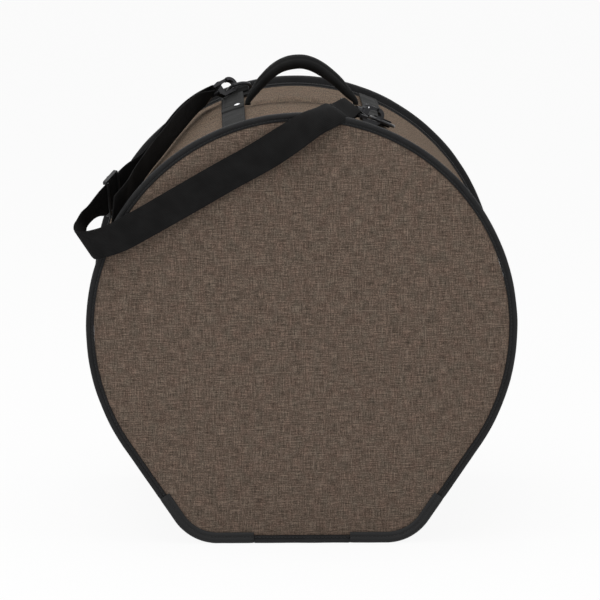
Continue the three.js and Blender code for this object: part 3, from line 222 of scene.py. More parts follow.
def spline(points, step):
    """A smooth line through unevenly spaced rows, whose first three values are their place."""
    p = np.asarray(points, float)
    p = np.vstack([2 * p[0] - p[1], p, 2 * p[-1] - p[-2]])
    made = []
    for i in range(1, len(p) - 2):
        q = p[i - 1 : i + 3]
        gaps = np.linalg.norm(np.diff(q[:, :3], axis=0), axis=1)
        t = np.concatenate([[0], np.cumsum(np.sqrt(gaps) + 1e-6)])
        count = max(2, math.ceil(gaps[1] / step))
        for k in range(count):
            x = t[1] + (t[2] - t[1]) * k / count
            a = [((t[j + 1] - x) * q[j] + (x - t[j]) * q[j + 1]) / (t[j + 1] - t[j]) for j in range(3)]
            b = [((t[j + 2] - x) * a[j] + (x - t[j]) * a[j + 1]) / (t[j + 2] - t[j]) for j in range(2)]
            made.append(((t[2] - x) * b[0] + (x - t[1]) * b[1]) / (t[2] - t[1]))
    made.append(p[-2])
    return np.array(made)


def resample(points, normals, pitch):
    """Points at an even pitch along a line, each with the way that the line takes and its normal."""
    reach = spans(points, False)
    places = np.arange(pitch / 2, reach[-1], pitch)
    for values in (np.asarray(points, float), along(points), np.asarray(normals, float)):
        yield np.stack([np.interp(places, reach, column) for column in values.T], 1)


BEAD_SIDES = 5
BEAD_ENDS = ((-0.5, 0.35), (-0.28, 1.0), (0.28, 1.0), (0.5, 0.35))


def beads(name, lines, body, look, size, turned=False):
    """Small rounded bars along lines of points and normals: stitches, or teeth if turned."""
    length, pitch, radius = size
    verts, faces = [], []
    for points, normals in lines:
        for centre, way, normal in zip(*resample(points, normals, pitch)):
            way = way / np.linalg.norm(way)
            normal = normal - way * normal.dot(way)
            normal = normal / np.linalg.norm(normal)
            axis = np.cross(normal, way) if turned else way
            side = np.cross(normal, axis)
            start = len(verts)
            for share, width in BEAD_ENDS:
                for k in range(BEAD_SIDES):
                    a = 2 * math.pi * k / BEAD_SIDES
                    spoke = side * math.cos(a) + normal * math.sin(a)
                    verts.append(tuple(centre + axis * length * share + spoke * radius * width))
            last = len(BEAD_ENDS) - 1
            for i in range(last):
                for k in range(BEAD_SIDES):
                    m = (k + 1) % BEAD_SIDES
                    a, b = start + i * BEAD_SIDES, start + (i + 1) * BEAD_SIDES
                    faces.append((a + k, a + m, b + m, b + k))
            faces.append(tuple(start + k for k in range(BEAD_SIDES))[::-1])
            faces.append(tuple(start + last * BEAD_SIDES + k for k in range(BEAD_SIDES)))
    mesh = bpy.data.meshes.new(name)
    mesh.from_pydata(verts, [], faces)
    return finish_mesh(name, mesh, body, look, 80)


def rim_line(start, end, inset, y, facing=0):
    """A line round the rim. Its normals point outwards, or along Y where facing is given."""
    distances = stops(start, end, 0.004)
    normals = [(0.0, facing, 0.0) if facing else outward(s) for s in distances]
    return [at(s, inset, y) for s in distances], normals


def cross_line(s, inset, start, end):
    """A line from front to back at one place of the rim."""
    points = [at(s, inset, y) for y in stops(start, end, 0.01)]
    return points, [outward(s)] * len(points)


# Materials


def add_node(tree, kind, values=(), **settings):
    """A new node with its settings, and with inputs that are linked to a socket or set to a value."""
    node = tree.nodes.new(kind)
    for key, value in settings.items():
        setattr(node, key, value)
    for key, value in values:
        if isinstance(value, bpy.types.NodeSocket):
            tree.links.new(value, node.inputs[key])
        else:
            node.inputs[key].default_value = value
    return node


class Look:
    """A material and the nodes that give its colour, roughness and relief."""

    def __init__(self, name, colour, roughness, specular, metallic=0.0):
        self.material = bpy.data.materials.new(name)
        self.material.use_nodes = True
        self.tree = self.material.node_tree
        self.shader = self.tree.nodes["Principled BSDF"]
        self.shader.inputs["Base Color"].default_value = (*colour, 1.0)
        self.shader.inputs["Roughness"].default_value = roughness
        self.shader.inputs["Specular IOR Level"].default_value = specular
        self.shader.inputs["Metallic"].default_value = metallic
        self.source = self.add("ShaderNodeTexCoord")

    def add(self, kind, values=(), **settings):
        return add_node(self.tree, kind, values, **settings)

    def mapped(self, scale, turn=0.0, space="UV"):
        values = [("Vector", self.source.outputs[space]), ("Scale", scale), ("Rotation", (0, 0, turn))]
        return self.add("ShaderNodeMapping", values).outputs[0]

    def noise(self, scale, detail=2.0, turn=0.0, space="UV"):
        values = [("Vector", self.mapped(scale, turn, space)), ("Scale", 1.0), ("Detail", detail)]
        return self.add("ShaderNodeTexNoise", values).outputs["Fac"]

    def sum(self, *terms):
        """A weighted sum of sockets, each given with its weight."""
        total = None
        for socket, weight in terms:
            scaled = self.math("MULTIPLY", socket, weight)
            total = scaled if total is None else self.math("ADD", total, scaled)
        return total

    def math(self, operation, *values):
        return self.add("ShaderNodeMath", list(enumerate(values)), operation=operation).outputs[0]

    def ribs(self, density, turn=0.0, part=0):
        """Sine ribs across one of the UV directions."""
        parts = self.add("ShaderNodeSeparateXYZ", [(0, self.mapped((density, density, 1), turn))]).outputs
        return self.math("SINE", parts[part])

    def ramp(self, socket, stops_at):
        node = self.add("ShaderNodeValToRGB", [("Fac", socket)])
        while len(node.color_ramp.elements) < len(stops_at):
            node.color_ramp.elements.new(0.5)
        for element, (place, colour) in zip(node.color_ramp.elements, stops_at):
            element.position, element.color = place, (*colour, 1.0)
        return node.outputs[0]

    def mix(self, share, a, b, blend="MIX"):
        values = [(0, share), (6, a), (7, b)]
        return self.add("ShaderNodeMix", values, data_type="RGBA", blend_type=blend).outputs[2]

    def paint(self, socket):
        self.tree.links.new(socket, self.shader.inputs["Base Color"])

    def rough(self, socket, low, high):
        values = [("Value", socket), ("To Min", low), ("To Max", high), ("From Min", 0.3), ("From Max", 0.7)]
        node = self.add("ShaderNodeMapRange", values)
        self.tree.links.new(node.outputs[0], self.shader.inputs["Roughness"])

    def relief(self, socket, strength, depth):
        node = self.add("ShaderNodeBump", [("Height", socket), ("Strength", strength), ("Distance", depth)])
        self.tree.links.new(node.outputs[0], self.shader.inputs["Normal"])


def shade(colour, factor):
    return tuple(c * factor for c in colour)


WEAVE = 5200


def heather(name, colour):
    """Linen-look cloth: thin uneven threads both ways, light slubs and patches of warmer and greener tone."""
    look = Look(name, colour, 0.95, 0.06)
    weft = look.noise((70, 900, 1), 3)
    warp = look.noise((900, 70, 1), 3)
    speck = look.noise((620, 620, 1), 2)
    tone = look.sum((weft, 0.36), (warp, 0.3), (speck, 0.34))
    threads = look.ramp(tone, ((0.38, shade(colour, 0.42)), (0.5, colour), (0.61, shade(colour, 1.95))))
    patch = look.math("MULTIPLY_ADD", look.noise((90, 70, 1), 4), 2.0, -0.5)
    tint = look.mix(patch, (0.95, 1.0, 0.98, 1), (1.07, 0.985, 0.96, 1))
    cloth = look.mix(1.0, threads, tint, "MULTIPLY")
    slub = look.math("MAXIMUM", look.noise((30, 620, 1), 1), look.noise((620, 34, 1), 1))
    lit = look.ramp(slub, ((0.66, (0, 0, 0)), (0.74, (0.5, 0.5, 0.5))))
    look.paint(look.mix(lit, cloth, (*shade(colour, 2.1), 1)))
    weave = look.math("MULTIPLY", look.ribs(WEAVE), look.ribs(WEAVE, part=1))
    look.relief(look.sum((weave, 0.35), (weft, 0.5), (warp, 0.5)), 0.5, 0.0004)
    return look.material


def woven(name, colour, density, roughness, specular, diagonal):
    """Dense black webbing or tape: diagonal ribs whose paler threads are painted highlight, patches of tone at
    random and a fine relief.
    """
    look = Look(name, colour, roughness, specular)
    thread = look.math("MULTIPLY", look.ribs(density, diagonal), look.ribs(density, -diagonal))
    fuzz = look.noise((900, 900, 1), 3)
    worn = look.noise((60, 60, 1), 3)
    tone = look.sum((thread, 0.2), (fuzz, 0.5), (worn, 0.46))
    # The ramp's light end paints highlight on the threads. The worn and fuzz noises only vary the tone at
    # random.
    look.paint(look.ramp(tone, ((0.3, shade(colour, 0.55)), (0.48, colour), (0.66, shade(colour, 1.7)))))
    look.rough(fuzz, roughness - 0.08, roughness + 0.08)
    look.relief(look.sum((thread, 0.5), (fuzz, 0.6)), 0.6, 0.0004)
    return look.material


def grained(name, colour, roughness, specular):
    """Vinyl with a fine leather grain, a little paler and smoother where it is worn."""
    look = Look(name, colour, roughness, specular)
    values = [("Vector", look.mapped((1, 1, 1), 0, "Object")), ("Scale", 900.0)]
    cells = look.add("ShaderNodeTexVoronoi", values, feature="F1").outputs["Distance"]
    fine = look.noise((1500, 1500, 1500), 2, 0, "Object")
    worn = look.noise((40, 40, 40), 4, 0, "Object")
    tone = look.sum((worn, 0.7), (fine, 0.3))
    look.paint(look.ramp(tone, ((0.34, shade(colour, 0.7)), (0.5, colour), (0.68, shade(colour, 1.5)))))
    look.rough(worn, roughness - 0.08, roughness + 0.1)
    look.relief(look.sum((cells, 0.7), (fine, 0.3)), 0.35, 0.0005)
    return look.material


def plain(name, colour, roughness, specular, metallic, scale, depth=0.0001):
    """Moulded or metal parts: faint mottling of colour and polish, with fine scuffs."""
    look = Look(name, colour, roughness, specular, metallic)
    mottle = look.noise((scale, scale, scale), 4, 0, "Object")
    scuffs = look.noise((2500, 180, 900), 3, 0.6, "Object")
    tone = look.sum((mottle, 0.6), (scuffs, 0.4))
    look.paint(look.ramp(tone, ((0.34, shade(colour, 0.7)), (0.5, colour), (0.66, shade(colour, 1.35)))))
    look.rough(scuffs, max(roughness - 0.08, 0.05), roughness + 0.1)
    look.relief(tone, 0.3, depth)
    return look.material


FACE_CLOTH = heather("face_cloth", (0.112, 0.0845, 0.067))
# The wall's cloth is the face's cloth painted lighter. This is painted light from above, which falls more on
# the top of the wall than on the faces.
WALL_CLOTH_PAINTED_LIT = heather("wall_cloth", (0.126, 0.095, 0.072))
BINDING = woven("binding_cloth", (0.0085, 0.0085, 0.009), 6500, 0.6, 0.2, 1.2)
TAPE = woven("zip_tape_cloth", (0.011, 0.011, 0.0115), 6500, 0.9, 0.1, 0.3)
WEBBING = woven("webbing", (0.0078, 0.0076, 0.0076), 3000, 0.85, 0.08, 0.62)
HANDLE_WRAP = woven("handle_wrap", (0.0085, 0.0085, 0.0085), 3600, 0.8, 0.1, 0.8)
BLACK_VINYL = grained("black_vinyl", (0.009, 0.0092, 0.0095), 0.5, 0.22)
GREY_VINYL = grained("grey_vinyl", (0.0105, 0.0105, 0.0103), 0.66, 0.06)
LINING = woven("lining_cloth", (0.02, 0.02, 0.022), 2600, 0.7, 0.2, 0.0)
THREAD = plain("thread", (0.02, 0.02, 0.02), 0.7, 0.3, 0.0, 900)
DARK_METAL = plain("dark_metal", (0.03, 0.03, 0.032), 0.34, 0.35, 0.75, 120)
BRIGHT_METAL = plain("bright_metal", (0.72, 0.72, 0.74), 0.24, 0.5, 1.0, 120)
PLASTIC = plain("black_plastic", (0.009, 0.009, 0.0095), 0.42, 0.35, 0.0, 400)
TEETH = plain("zip_plastic", (0.011, 0.011, 0.0115), 0.45, 0.35, 0.0, 500)
FOAM = plain("padding_foam", (0.48, 0.46, 0.42), 0.95, 0.1, 0.0, 600, 0.0004)
BOARD = plain("fibre_board", (0.045, 0.04, 0.035), 0.85, 0.1, 0.0, 500, 0.0003)

# Faces: a crowned pad of cloth over foam, its lining and its bound edge

CLOTH_INSET = 0.0096
CLOTH_DEPTH = 0.0012
CROWN_RISE = 0.007
CLOTH_SLACK, CLOTH_FINE_SLACK, CLOTH_PUCKER = 0.0011, 0.0004, 0.0005
PAD_SIDE, PAD_CORNER, PAD_REAR = 0.0045, 0.0118, 0.0127
PAD_REAR_ROWS = (0.02, 0.5, 0.985)
FACE_ROWS = (1.0, 0.992, 0.975, 0.95, 0.92, 0.88, 0.83, 0.77, 0.7, 0.62, 0.53, 0.43, 0.32, 0.21, 0.1, 0.02)
SKIN_INSET = 0.0105
SKIN_REAR = 0.0138
SKIN_SLACK = 0.0004
SKIN_EDGE_ROWS = ((0.02, 0.013), (0.9, 0.013), (0.995, 0.0131), (1, 0.0134), (0.995, SKIN_REAR))
SKIN_ROWS = (0.93, 0.8, 0.6, 0.4, 0.2, 0.02)
LOOP = stops(0, TOTAL, LOOP_STEP)[:-1]


def face_ring(side, share, inset, inward):
    """The outline at an inset, drawn in to a share of its size, a length inward of the face's plane."""
    ring = []
    for s in LOOP:
        x, _, z = at(s, inset, 0)
        ring.append((x * share, side * (HALF - inward), CENTRE + (z - CENTRE) * share))
    return ring


def pad_ring(side, share):
    rise = CROWN_RISE * (1 - share**4) - CLOTH_DEPTH * (share == 1.0)
    ring = []
    for x, y, z in face_ring(side, share, CLOTH_INSET, CLOTH_DEPTH - rise):
        slack = CLOTH_SLACK * ripple(x, y, z, 7, side) + CLOTH_FINE_SLACK * ripple(x, y, z, 22, side)
        pucker = CLOTH_PUCKER * smooth(share, 0.86, 0.97) * ripple(x, y, z, 75, side)
        ring.append((x, y + side * (slack * smooth(1 - share, 0, 0.12) + pucker), z))
    return ring


def make_face(side, label, body):
    rings = [face_ring(side, share, CLOTH_INSET, PAD_REAR) for share in PAD_REAR_ROWS]
    rings += [face_ring(side, 1.0, CLOTH_INSET, inward) for inward in (PAD_CORNER, PAD_SIDE)]
    rings += [pad_ring(side, share) for share in FACE_ROWS]
    pad = grid(label + "_cloth", rings, body, FACE_CLOTH, planar=True)
    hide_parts(label + "_panel", label + "_foam")
    lining = [face_ring(side, share, SKIN_INSET, inward) for share, inward in SKIN_EDGE_ROWS]
    for share in SKIN_ROWS:
        ring = face_ring(side, share, SKIN_INSET, SKIN_REAR)
        lining.append([(x, y + side * SKIN_SLACK * ripple(x, y, z, 14, 5), z) for x, y, z in ring])
    skin = grid(label + "_inside", lining, body, LINING, planar=True)
    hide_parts(label + "_lining")
    make_binding(side, label, body)
    for name, start, end in (("left", CAP_FOOT, CAP_TOP), ("right", TOTAL - CAP_TOP, TOTAL - CAP_FOOT)):
        make_cap(side, label, name, body, start, end)


BINDING_WIDTH, BINDING_DEPTH, BINDING_WAVE = 0.0093, 0.01, 0.0003
BINDING_SECTION = (
    (1, 0.16), (0.9, 0.1), (0.76, 0.09), (0.64, 0.13), (0.56, 0.07), (0.44, 0.0), (0.3, -0.01), (0.17, 0.03),
    (0.07, 0.12), (0.01, 0.27), (0, 0.45), (0, 0.65), (0.03, 0.82), (0.12, 0.95), (0.33, 1), (1, 1),
)
PRESSED_INSET, PRESSED_DEPTH = 0.0016, 0.0004
PRESS_FROM, PRESS_TO = 0.001, 0.005


def under_cap(s):
    """How far the binding is pressed down by a corner cap, 0 to 1."""
    rise = (CAP_FOOT + PRESS_FROM, CAP_FOOT + PRESS_TO)
    return band(min(s, TOTAL - s), rise, (CAP_TOP - PRESS_TO, CAP_TOP - PRESS_FROM))


def make_binding(side, label, body):
    def section(s):
        x, _, z = at(s, 0, 0)
        pressed = under_cap(s)
        pairs = []
        for across, inward in BINDING_SECTION:
            wave = BINDING_WAVE * ripple(x, across * 0.01, z, 40, side + 3)
            shift = (1 - across) * (PRESSED_INSET * pressed + wave)
            y = side * (HALF - BINDING_DEPTH * inward - PRESSED_DEPTH * pressed)
            pairs.append((BINDING_WIDTH * across + shift, y))
        return pairs

    edge = sweep(label + "_edge", LOOP, section, body, BINDING, True, 50)
    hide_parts(label + "_binding")


# A cap's section, as inset and length inward of the face's plane, and which of its points can lift
CAP_SECTION = (
    (0.0134, -0.0004), (0.0122, -0.0011), (0.0105, -0.0015), (0.0088, -0.0012), (0.0079, -0.0009),
    (0.0068, -0.0013), (0.005, -0.0017), (0.003, -0.0015), (0.0013, -0.0006), (0.0004, 0.0009),
    (0.0001, 0.0028), (0, 0.006), (0, 0.0094), (0.0011, 0.0094), (0.0011, 0.006), (0.0012, 0.0032),
    (0.0017, 0.0011), (0.0033, -0.0004), (0.0075, -0.0004), (0.0134, -0.0002),
)
CAP_FACE, CAP_SIDE = range(2, 9), range(9, 11)
CAP_HEM, CAP_DENT = 0.0005, 0.00015


def make_cap(side, label, name, body, start, end):
    def section(s):
        hem = CAP_HEM * (1 - smooth(min(s - start, end - s), -0.0002, 0.0018))
        shaped = []
        for index, (inset, inward) in enumerate(CAP_SECTION):
            x, _, z = at(s, inset, 0)
            lift = hem - CAP_DENT * ripple(x, inset, z, 70, side)
            y = HALF - inward - lift * (index in CAP_FACE)
            shaped.append((inset + lift * (index in CAP_SIDE), side * y))
        return shaped

    path = edged(start, end, 0.004, 0.0008)
    cap = sweep(f"{label}_corner_{name}", path, section, body, BLACK_VINYL, False, 50)
    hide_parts(f"{label}_cap_{name}")


make_face(-1, "front", "bag")
make_face(1, "back", "lid")

# Wall: cloth and foam in one soft strip, with the crease across the top and the swelling at the upper left

WALL_INSET = 0.009
WALL_START = -0.2147
WALL_END = 0.1841
INSIDE_START = -0.2109
INSIDE_END = 0.1964
FOAM_OUTER = 0.0105
FOAM_INNER = 0.0205
LINING_OUTER, LINING_INNER, LINING_SLACK = 0.0208, 0.0216, 0.0004
FLANGE_OUTER, FLANGE_FRONT, FLANGE_FOLD, FLANGE_REAR = 0.0109, 0.1965, 0.1966, 0.1973
# Where round the top, in degrees, and how far back, as shares of HALF, the cloth is creased and swollen
CREASED, CREASE_MIDDLE, CREASE_HALF = ((-34, -22), (6, 18)), 0.12, 0.08
SWOLLEN, SWELL_MIDDLE, SWELL_HALF = ((-68, -54), (-40, -30)), 0.62, 0.19
CREASE_DEPTH = SWELL_RISE = 0.006
WALL_REST, WALL_SLACK, WALL_FINE_SLACK, WALL_PUCKER = 0.0007, 0.0016, 0.0006, 0.0005
HELD_EDGE = 0.02


def wall_dent(s, y):
    """How deep the wall's cloth lies under its inset."""
    x, _, z = at(s, 0, 0)
    degrees = math.degrees(math.atan2(x, z - CENTRE))
    crease = CREASE_DEPTH * band(degrees, *CREASED) * tent(y / HALF, CREASE_MIDDLE, CREASE_HALF)
    swelling = SWELL_RISE * band(degrees, *SWOLLEN) * smooth(tent(y / HALF, SWELL_MIDDLE, SWELL_HALF), 0, 1)
    slack = WALL_REST + WALL_SLACK * ripple(s, y * 0.6, 0, 9, 4) + WALL_FINE_SLACK * ripple(s, y, 0, 30, 8)
    loose = smooth(min(y - WALL_START, WALL_END - y), 0, HELD_EDGE)
    pucker = WALL_PUCKER * (1 - loose) * ripple(s, 0, y * 0.2, 90, 6)
    return crease - swelling + slack * loose + pucker


WALL_DEPTHS = stops(WALL_START, WALL_END, LOOP_STEP)


def wall_section(s):
    outer = [(WALL_INSET + wall_dent(s, y), y) for y in WALL_DEPTHS]
    outer[0] = (WALL_INSET + 0.0005, WALL_START)
    outer[-1] = (WALL_INSET + 0.0004, WALL_END)
    tail = [
        (FOAM_OUTER - 0.0002, WALL_END + 0.0002), (FOAM_OUTER, WALL_END + 0.001), (FOAM_OUTER, INSIDE_END),
        (FOAM_INNER, INSIDE_END), (FOAM_INNER, INSIDE_START), (WALL_INSET + 0.0022, INSIDE_START - 0.0004),
        (WALL_INSET + 0.0015, WALL_START + 0.0004),
    ]
    return outer + tail


wall_path = stops(S_SIDE, TOTAL - S_SIDE, 0.007)
# The wall wears the face's cloth painted lighter, as painted top light.
wall = sweep("wall_padding", wall_path, wall_section, "bag", WALL_CLOTH_PAINTED_LIT)
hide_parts("gusset_shell", "gusset_foam")


def lining_section(s):
    x, _, z = at(s, 0, 0)
    pairs = [(FLANGE_OUTER, FLANGE_FRONT), (FLANGE_OUTER, FLANGE_REAR)]
    pairs += [(LINING_OUTER, FLANGE_REAR), (LINING_INNER, FLANGE_FOLD)]
    for y in stops(INSIDE_END, INSIDE_START, 0.045):
        pairs.append((LINING_INNER + LINING_SLACK * ripple(x, y, z, 16, 2), y))
    return pairs + [(LINING_OUTER, INSIDE_START), (LINING_OUTER, INSIDE_END)]


lining = sweep("wall_lining", LOOP, lining_section, "bag", LINING, True)
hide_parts("gusset_lining")

# Base: a vinyl boot that laps up both corners, padding and the hinge strip of the lid

BOOT_INSET, BOOT_THICKNESS, BOOT_WAVE = 0.0068, 0.0018, 0.0002
BOOT_REAR = 0.2147
LAP = 0.13 * SIDE_LENGTH
BASE_PAD_INSET, BASE_PAD_CLIMB = 0.0067, 0.0039
HINGE_FRONT, HINGE_THICKNESS = 0.2151, 0.0012


def climb(s):
    """How far the base's layers have drawn in under the wall's cloth at the corners, 0 to 1."""
    d = min(s % TOTAL, TOTAL - s % TOTAL)
    return smooth(d, CORNER_X - 0.004, S_SIDE - 0.004)


def boot_section(s):
    inset = BOOT_INSET * climb(s) + BOOT_WAVE
    last = BOOT_REAR - (BOOT_REAR - WALL_END) * smooth(climb(s), 0.0, 0.02)
    outer = [(inset + BOOT_WAVE * ripple(s, y, 0, 25, 9), y) for y in np.linspace(WALL_START, last, 15)]
    inner = inset + BOOT_THICKNESS
    return soften([*outer, (inner, last), (inner, WALL_START)], 0.0006)


boot_path = stops(-S_SIDE - LAP, S_SIDE + LAP, LOOP_STEP)
boot = sweep("boot", boot_path, boot_section, "bag", BLACK_VINYL, False, 50)
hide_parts("base_boot")


def base_pad_section(s):
    outer = BASE_PAD_INSET + BASE_PAD_CLIMB * climb(s)
    return slab_section(outer, FOAM_INNER - 0.0002, INSIDE_START, WALL_END, 0.002)


pad_path = stops(-S_SIDE + 0.001, S_SIDE - 0.001, 0.012)
base_pad = sweep("base_padding", pad_path, base_pad_section, "bag", FOAM)
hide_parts("base_foam")


def strip_section(s):
    return slab_section(0.0, HINGE_THICKNESS, HINGE_FRONT, HALF)


strip_path = stops(-CAP_FOOT + 0.0004, CAP_FOOT - 0.0004, 0.005)
strip = sweep("hinge_strip", strip_path, strip_section, "bag", BINDING)
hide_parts("lid_hinge_strip")

# Zip: tapes and teeth

ZIP_TO = TOTAL - ZIP_FROM
CHAIN = 0.0075
TAPE_THICKNESS, TAPE_WAVE, WAVES_PER_METRE = 0.0012, 0.0001, 900
TOOTH = (0.0027, 0.0017, 0.00068)


def make_zip(label, body, start, end, teeth_at):
    def section(s):
        outer = WALL_INSET + TAPE_WAVE * math.sin(s * WAVES_PER_METRE)
        return slab_section(outer, WALL_INSET + TAPE_THICKNESS, start, end)

    path = stops(ZIP_FROM, ZIP_TO, LOOP_STEP)
    tape = sweep(f"tape_{label}", path, section, body, TAPE)
    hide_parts(f"zip_tape_{label}")
    line = rim_line(ZIP_FROM, ZIP_TO, CHAIN, teeth_at)
    teeth = beads(f"teeth_{label}", [line], body, TEETH, TOOTH, True)
    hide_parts(f"zip_chain_{label}")


make_zip("body", "bag", 0.1844, 0.1972, 0.1981)
make_zip("lid", "lid", 0.2019, 0.2147, 0.201)

# Vinyl strips, webbing ends and the padded handle on top


def curved(name, outline, depths, body, look):
    """A strip of the wall's top: outline(y) gives its section as pairs of degrees and inset."""
    rings = [[at(round_at(degrees), inset, y) for degrees, inset in outline(y)] for y in depths]
    return grid(name, rings, body, look, sharp=45)


VINYL = 0.0016
STRIP_RISE = 0.0029
TUCK = 0.0003
STRIP_WAVE, STRIP_SAG, STRIP_HEM = 0.00025, 0.0002, 0.0004


def strip_outline(outer, inner, humps, start, end, open_to=None):
    """The section of a vinyl strip that goes from its outer to its inner edge over what lies under it."""
    wall = math.degrees(VINYL / RIM) * (1 if inner > outer else -1)
    depths, heights = zip(*humps)

    def outline(y):
        window = np.linspace(-0.0012, 0.0012, 5)
        hump = float(np.mean(np.interp(y + window, depths, heights)))
        hump += STRIP_WAVE * ripple(y, outer, 0, 60)
        low = WALL_INSET - STRIP_RISE - hump
        top = low - VINYL + STRIP_HEM * (1 - smooth(min(y - start, end - y), -0.0004, 0.0016))
        is_open = open_to is not None and y < open_to
        foot = low + TUCK if is_open else WALL_INSET - TUCK
        pairs = [(outer, foot), (outer, top + 0.0011), (outer + wall * 0.15, top + 0.0004)]
        pairs.append((outer + wall * 0.6, top))
        for share in (0.2, 0.35, 0.5, 0.65, 0.8):
            pairs.append((outer + (inner - outer) * share, top + STRIP_SAG * math.sin(share * math.pi)))
        pairs += [(inner - wall * 0.5, top), (inner - wall * 0.12, top + 0.0003), (inner, top + 0.0008)]
        pairs += [(inner, low), ((inner + outer) / 2, low), (outer + wall, low), (outer + wall, foot)]
        return pairs

    return outline


STRIP_TOP = slice(3, 10)
LEFT_FRONT, LEFT_REAR = -0.2144, 0.1653
RIGHT_FRONT, RIGHT_REAR, RIGHT_OPEN_TO = -0.07, 0.1838, -0.044
LEFT_HUMPS = (
    (LEFT_FRONT, 0), (-0.034, 0.0002), (-0.0235, -0.0012), (-0.0205, 0.0012), (0.01395, 0.0014),
    (0.01955, 0), (0.022, -0.0008), (0.027, -0.0024), (0.033, -0.0014), (0.0395, 0), (0.2, 0),
)
RIGHT_HUMPS = (
    (RIGHT_FRONT, 0), (-0.01955, 0), (-0.01395, 0.0014), (0.01395, 0.0014), (0.01955, 0), (0.2, 0),
)
left_path = edged(LEFT_FRONT, LEFT_REAR, 0.002)
right_path = edged(RIGHT_FRONT, RIGHT_REAR, 0.004)
left_outline = strip_outline(-22, -15.3, LEFT_HUMPS, LEFT_FRONT, LEFT_REAR)
right_outline = strip_outline(24.4, 18.8, RIGHT_HUMPS, RIGHT_FRONT, RIGHT_REAR, RIGHT_OPEN_TO)
for label, path, outline in (("left", left_path, left_outline), ("right", right_path, right_outline)):
    patch = curved(f"vinyl_strip_{label}", outline, path, "bag", GREY_VINYL)
    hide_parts(f"handle_patch_{label}")

FOOT_LOW, FOOT_FOLD, FOOT_TOP = 0.0087, 0.0069, 0.0051
FOOT_HALF = 0.0125


def make_foot(label, start, end):
    """The doubled end of the handle's webbing, which lies under a vinyl strip."""
    flat = stops(start, end, 0.6)

    def outline(y):
        fold = [(flat[-1], FOOT_FOLD + 0.0002), (flat[-1] - 0.05, FOOT_FOLD), (flat[-1], FOOT_FOLD - 0.0002)]
        far = [(flat[0], FOOT_FOLD - 0.0002), (flat[0] + 0.05, FOOT_FOLD)]
        return [(d, FOOT_LOW) for d in flat] + fold + [(d, FOOT_TOP) for d in flat[::-1]] + far

    path = stops(-FOOT_HALF, FOOT_HALF, 0.004)
    foot = curved(f"webbing_end_{label}", outline, path, "bag", WEBBING)
    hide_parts(f"handle_foot_{label}")


make_foot("left", -20.5, -15.4)
make_foot("right", 17.5, 22.5)

HANDLE_LEFT, HANDLE_RIGHT = -0.0603, 0.069
HINGE_Z, HANDLE_RISE = 0.4932, 0.0488
HANDLE_THICKNESS, HANDLE_WIDTH = 0.017, 0.032
# Each row's share of the way across, of the rise, of the thickness and of the width
HANDLE_ROWS = (
    (0, 0, 0.42, 0.22), (0.022, 0.118, 0.5, 0.31), (0.08, 0.343, 0.7, 0.76), (0.172, 0.629, 0.8, 0.9),
    (0.281, 0.863, 0.91, 0.97), (0.389, 0.976, 1, 1), (0.497, 1, 1, 1), (0.606, 0.925, 1, 1),
    (0.729, 0.731, 0.91, 0.97), (0.838, 0.486, 0.8, 0.9), (0.93, 0.22, 0.68, 0.58), (0.981, 0.078, 0.5, 0.3),
    (1, 0, 0.42, 0.22),
)
# Each toe row's share of the drop under the hinge and of the half width
TOE_ROWS = ((0.97, 0.23), (0.76, 0.65), (0.46, 0.89))
TOE_DROP, TOE_THICKNESS, TOE_HALF = 0.0035, 0.00714, 0.007
HANDLE_SIDES = 36
WRAPPED, WRAP_WAVE = ((0.14, 0.155), (0.845, 0.86)), 0.0003
# The grooves of the wrap, each at its angle with its depth, and the lip beside the seam
GROOVES, GROOVE_WIDTH = ((-0.9, 0.11), (math.pi, 0.05)), 0.13
SEAM_ANGLE, LIP_WIDTH, LIP_RISE = 0.9, 0.9, 0.035


def half_turn(angle):
    """An angle in radians brought to between minus and plus half a turn."""
    return (angle + math.pi) % (2 * math.pi) - math.pi


def handle_rows():
    """Rows of centre, direction across, thickness and width, from the left toe over the arch to the right."""
    span = HANDLE_RIGHT - HANDLE_LEFT
    places = ((HANDLE_LEFT + span * a, 0, HINGE_Z + HANDLE_RISE * rise) for a, rise, _, _ in HANDLE_ROWS)
    centres = [Vector(place) for place in places]
    rows = []
    last = len(centres) - 1
    for i, centre in enumerate(centres):
        way = centres[min(i + 1, last)] - centres[max(i - 1, 0)]
        if i in (0, last):
            way = Vector((0, 0, 1 if i == 0 else -1))
        across = Vector((-way.z, 0, way.x)).normalized()
        _, _, thick, wide = HANDLE_ROWS[i]
        rows.append([*centre, *across, HANDLE_THICKNESS * thick, HANDLE_WIDTH * wide])
    toes = []
    for x, way in ((HANDLE_LEFT, -1), (HANDLE_RIGHT, 1)):
        sizes = [(HINGE_Z - TOE_DROP * drop, TOE_HALF * half) for drop, half in TOE_ROWS]
        toes.append([[x, 0, z, way, 0, 0, TOE_THICKNESS, wide] for z, wide in sizes])
    return toes[0] + rows + toes[1][::-1]


def wrap_swell(a, wrapped):
    """The size of the handle's section at an angle, with the wrap's grooves and lip."""
    swell = 0.94 + 0.06 * wrapped
    for place, depth in GROOVES:
        swell -= depth * wrapped * math.exp(-((half_turn(a - place) / GROOVE_WIDTH) ** 2))
    lip = half_turn(a + SEAM_ANGLE)
    if 0 < lip < LIP_WIDTH:
        swell += LIP_RISE * wrapped * math.sin(lip / LIP_WIDTH * math.pi)
    return swell


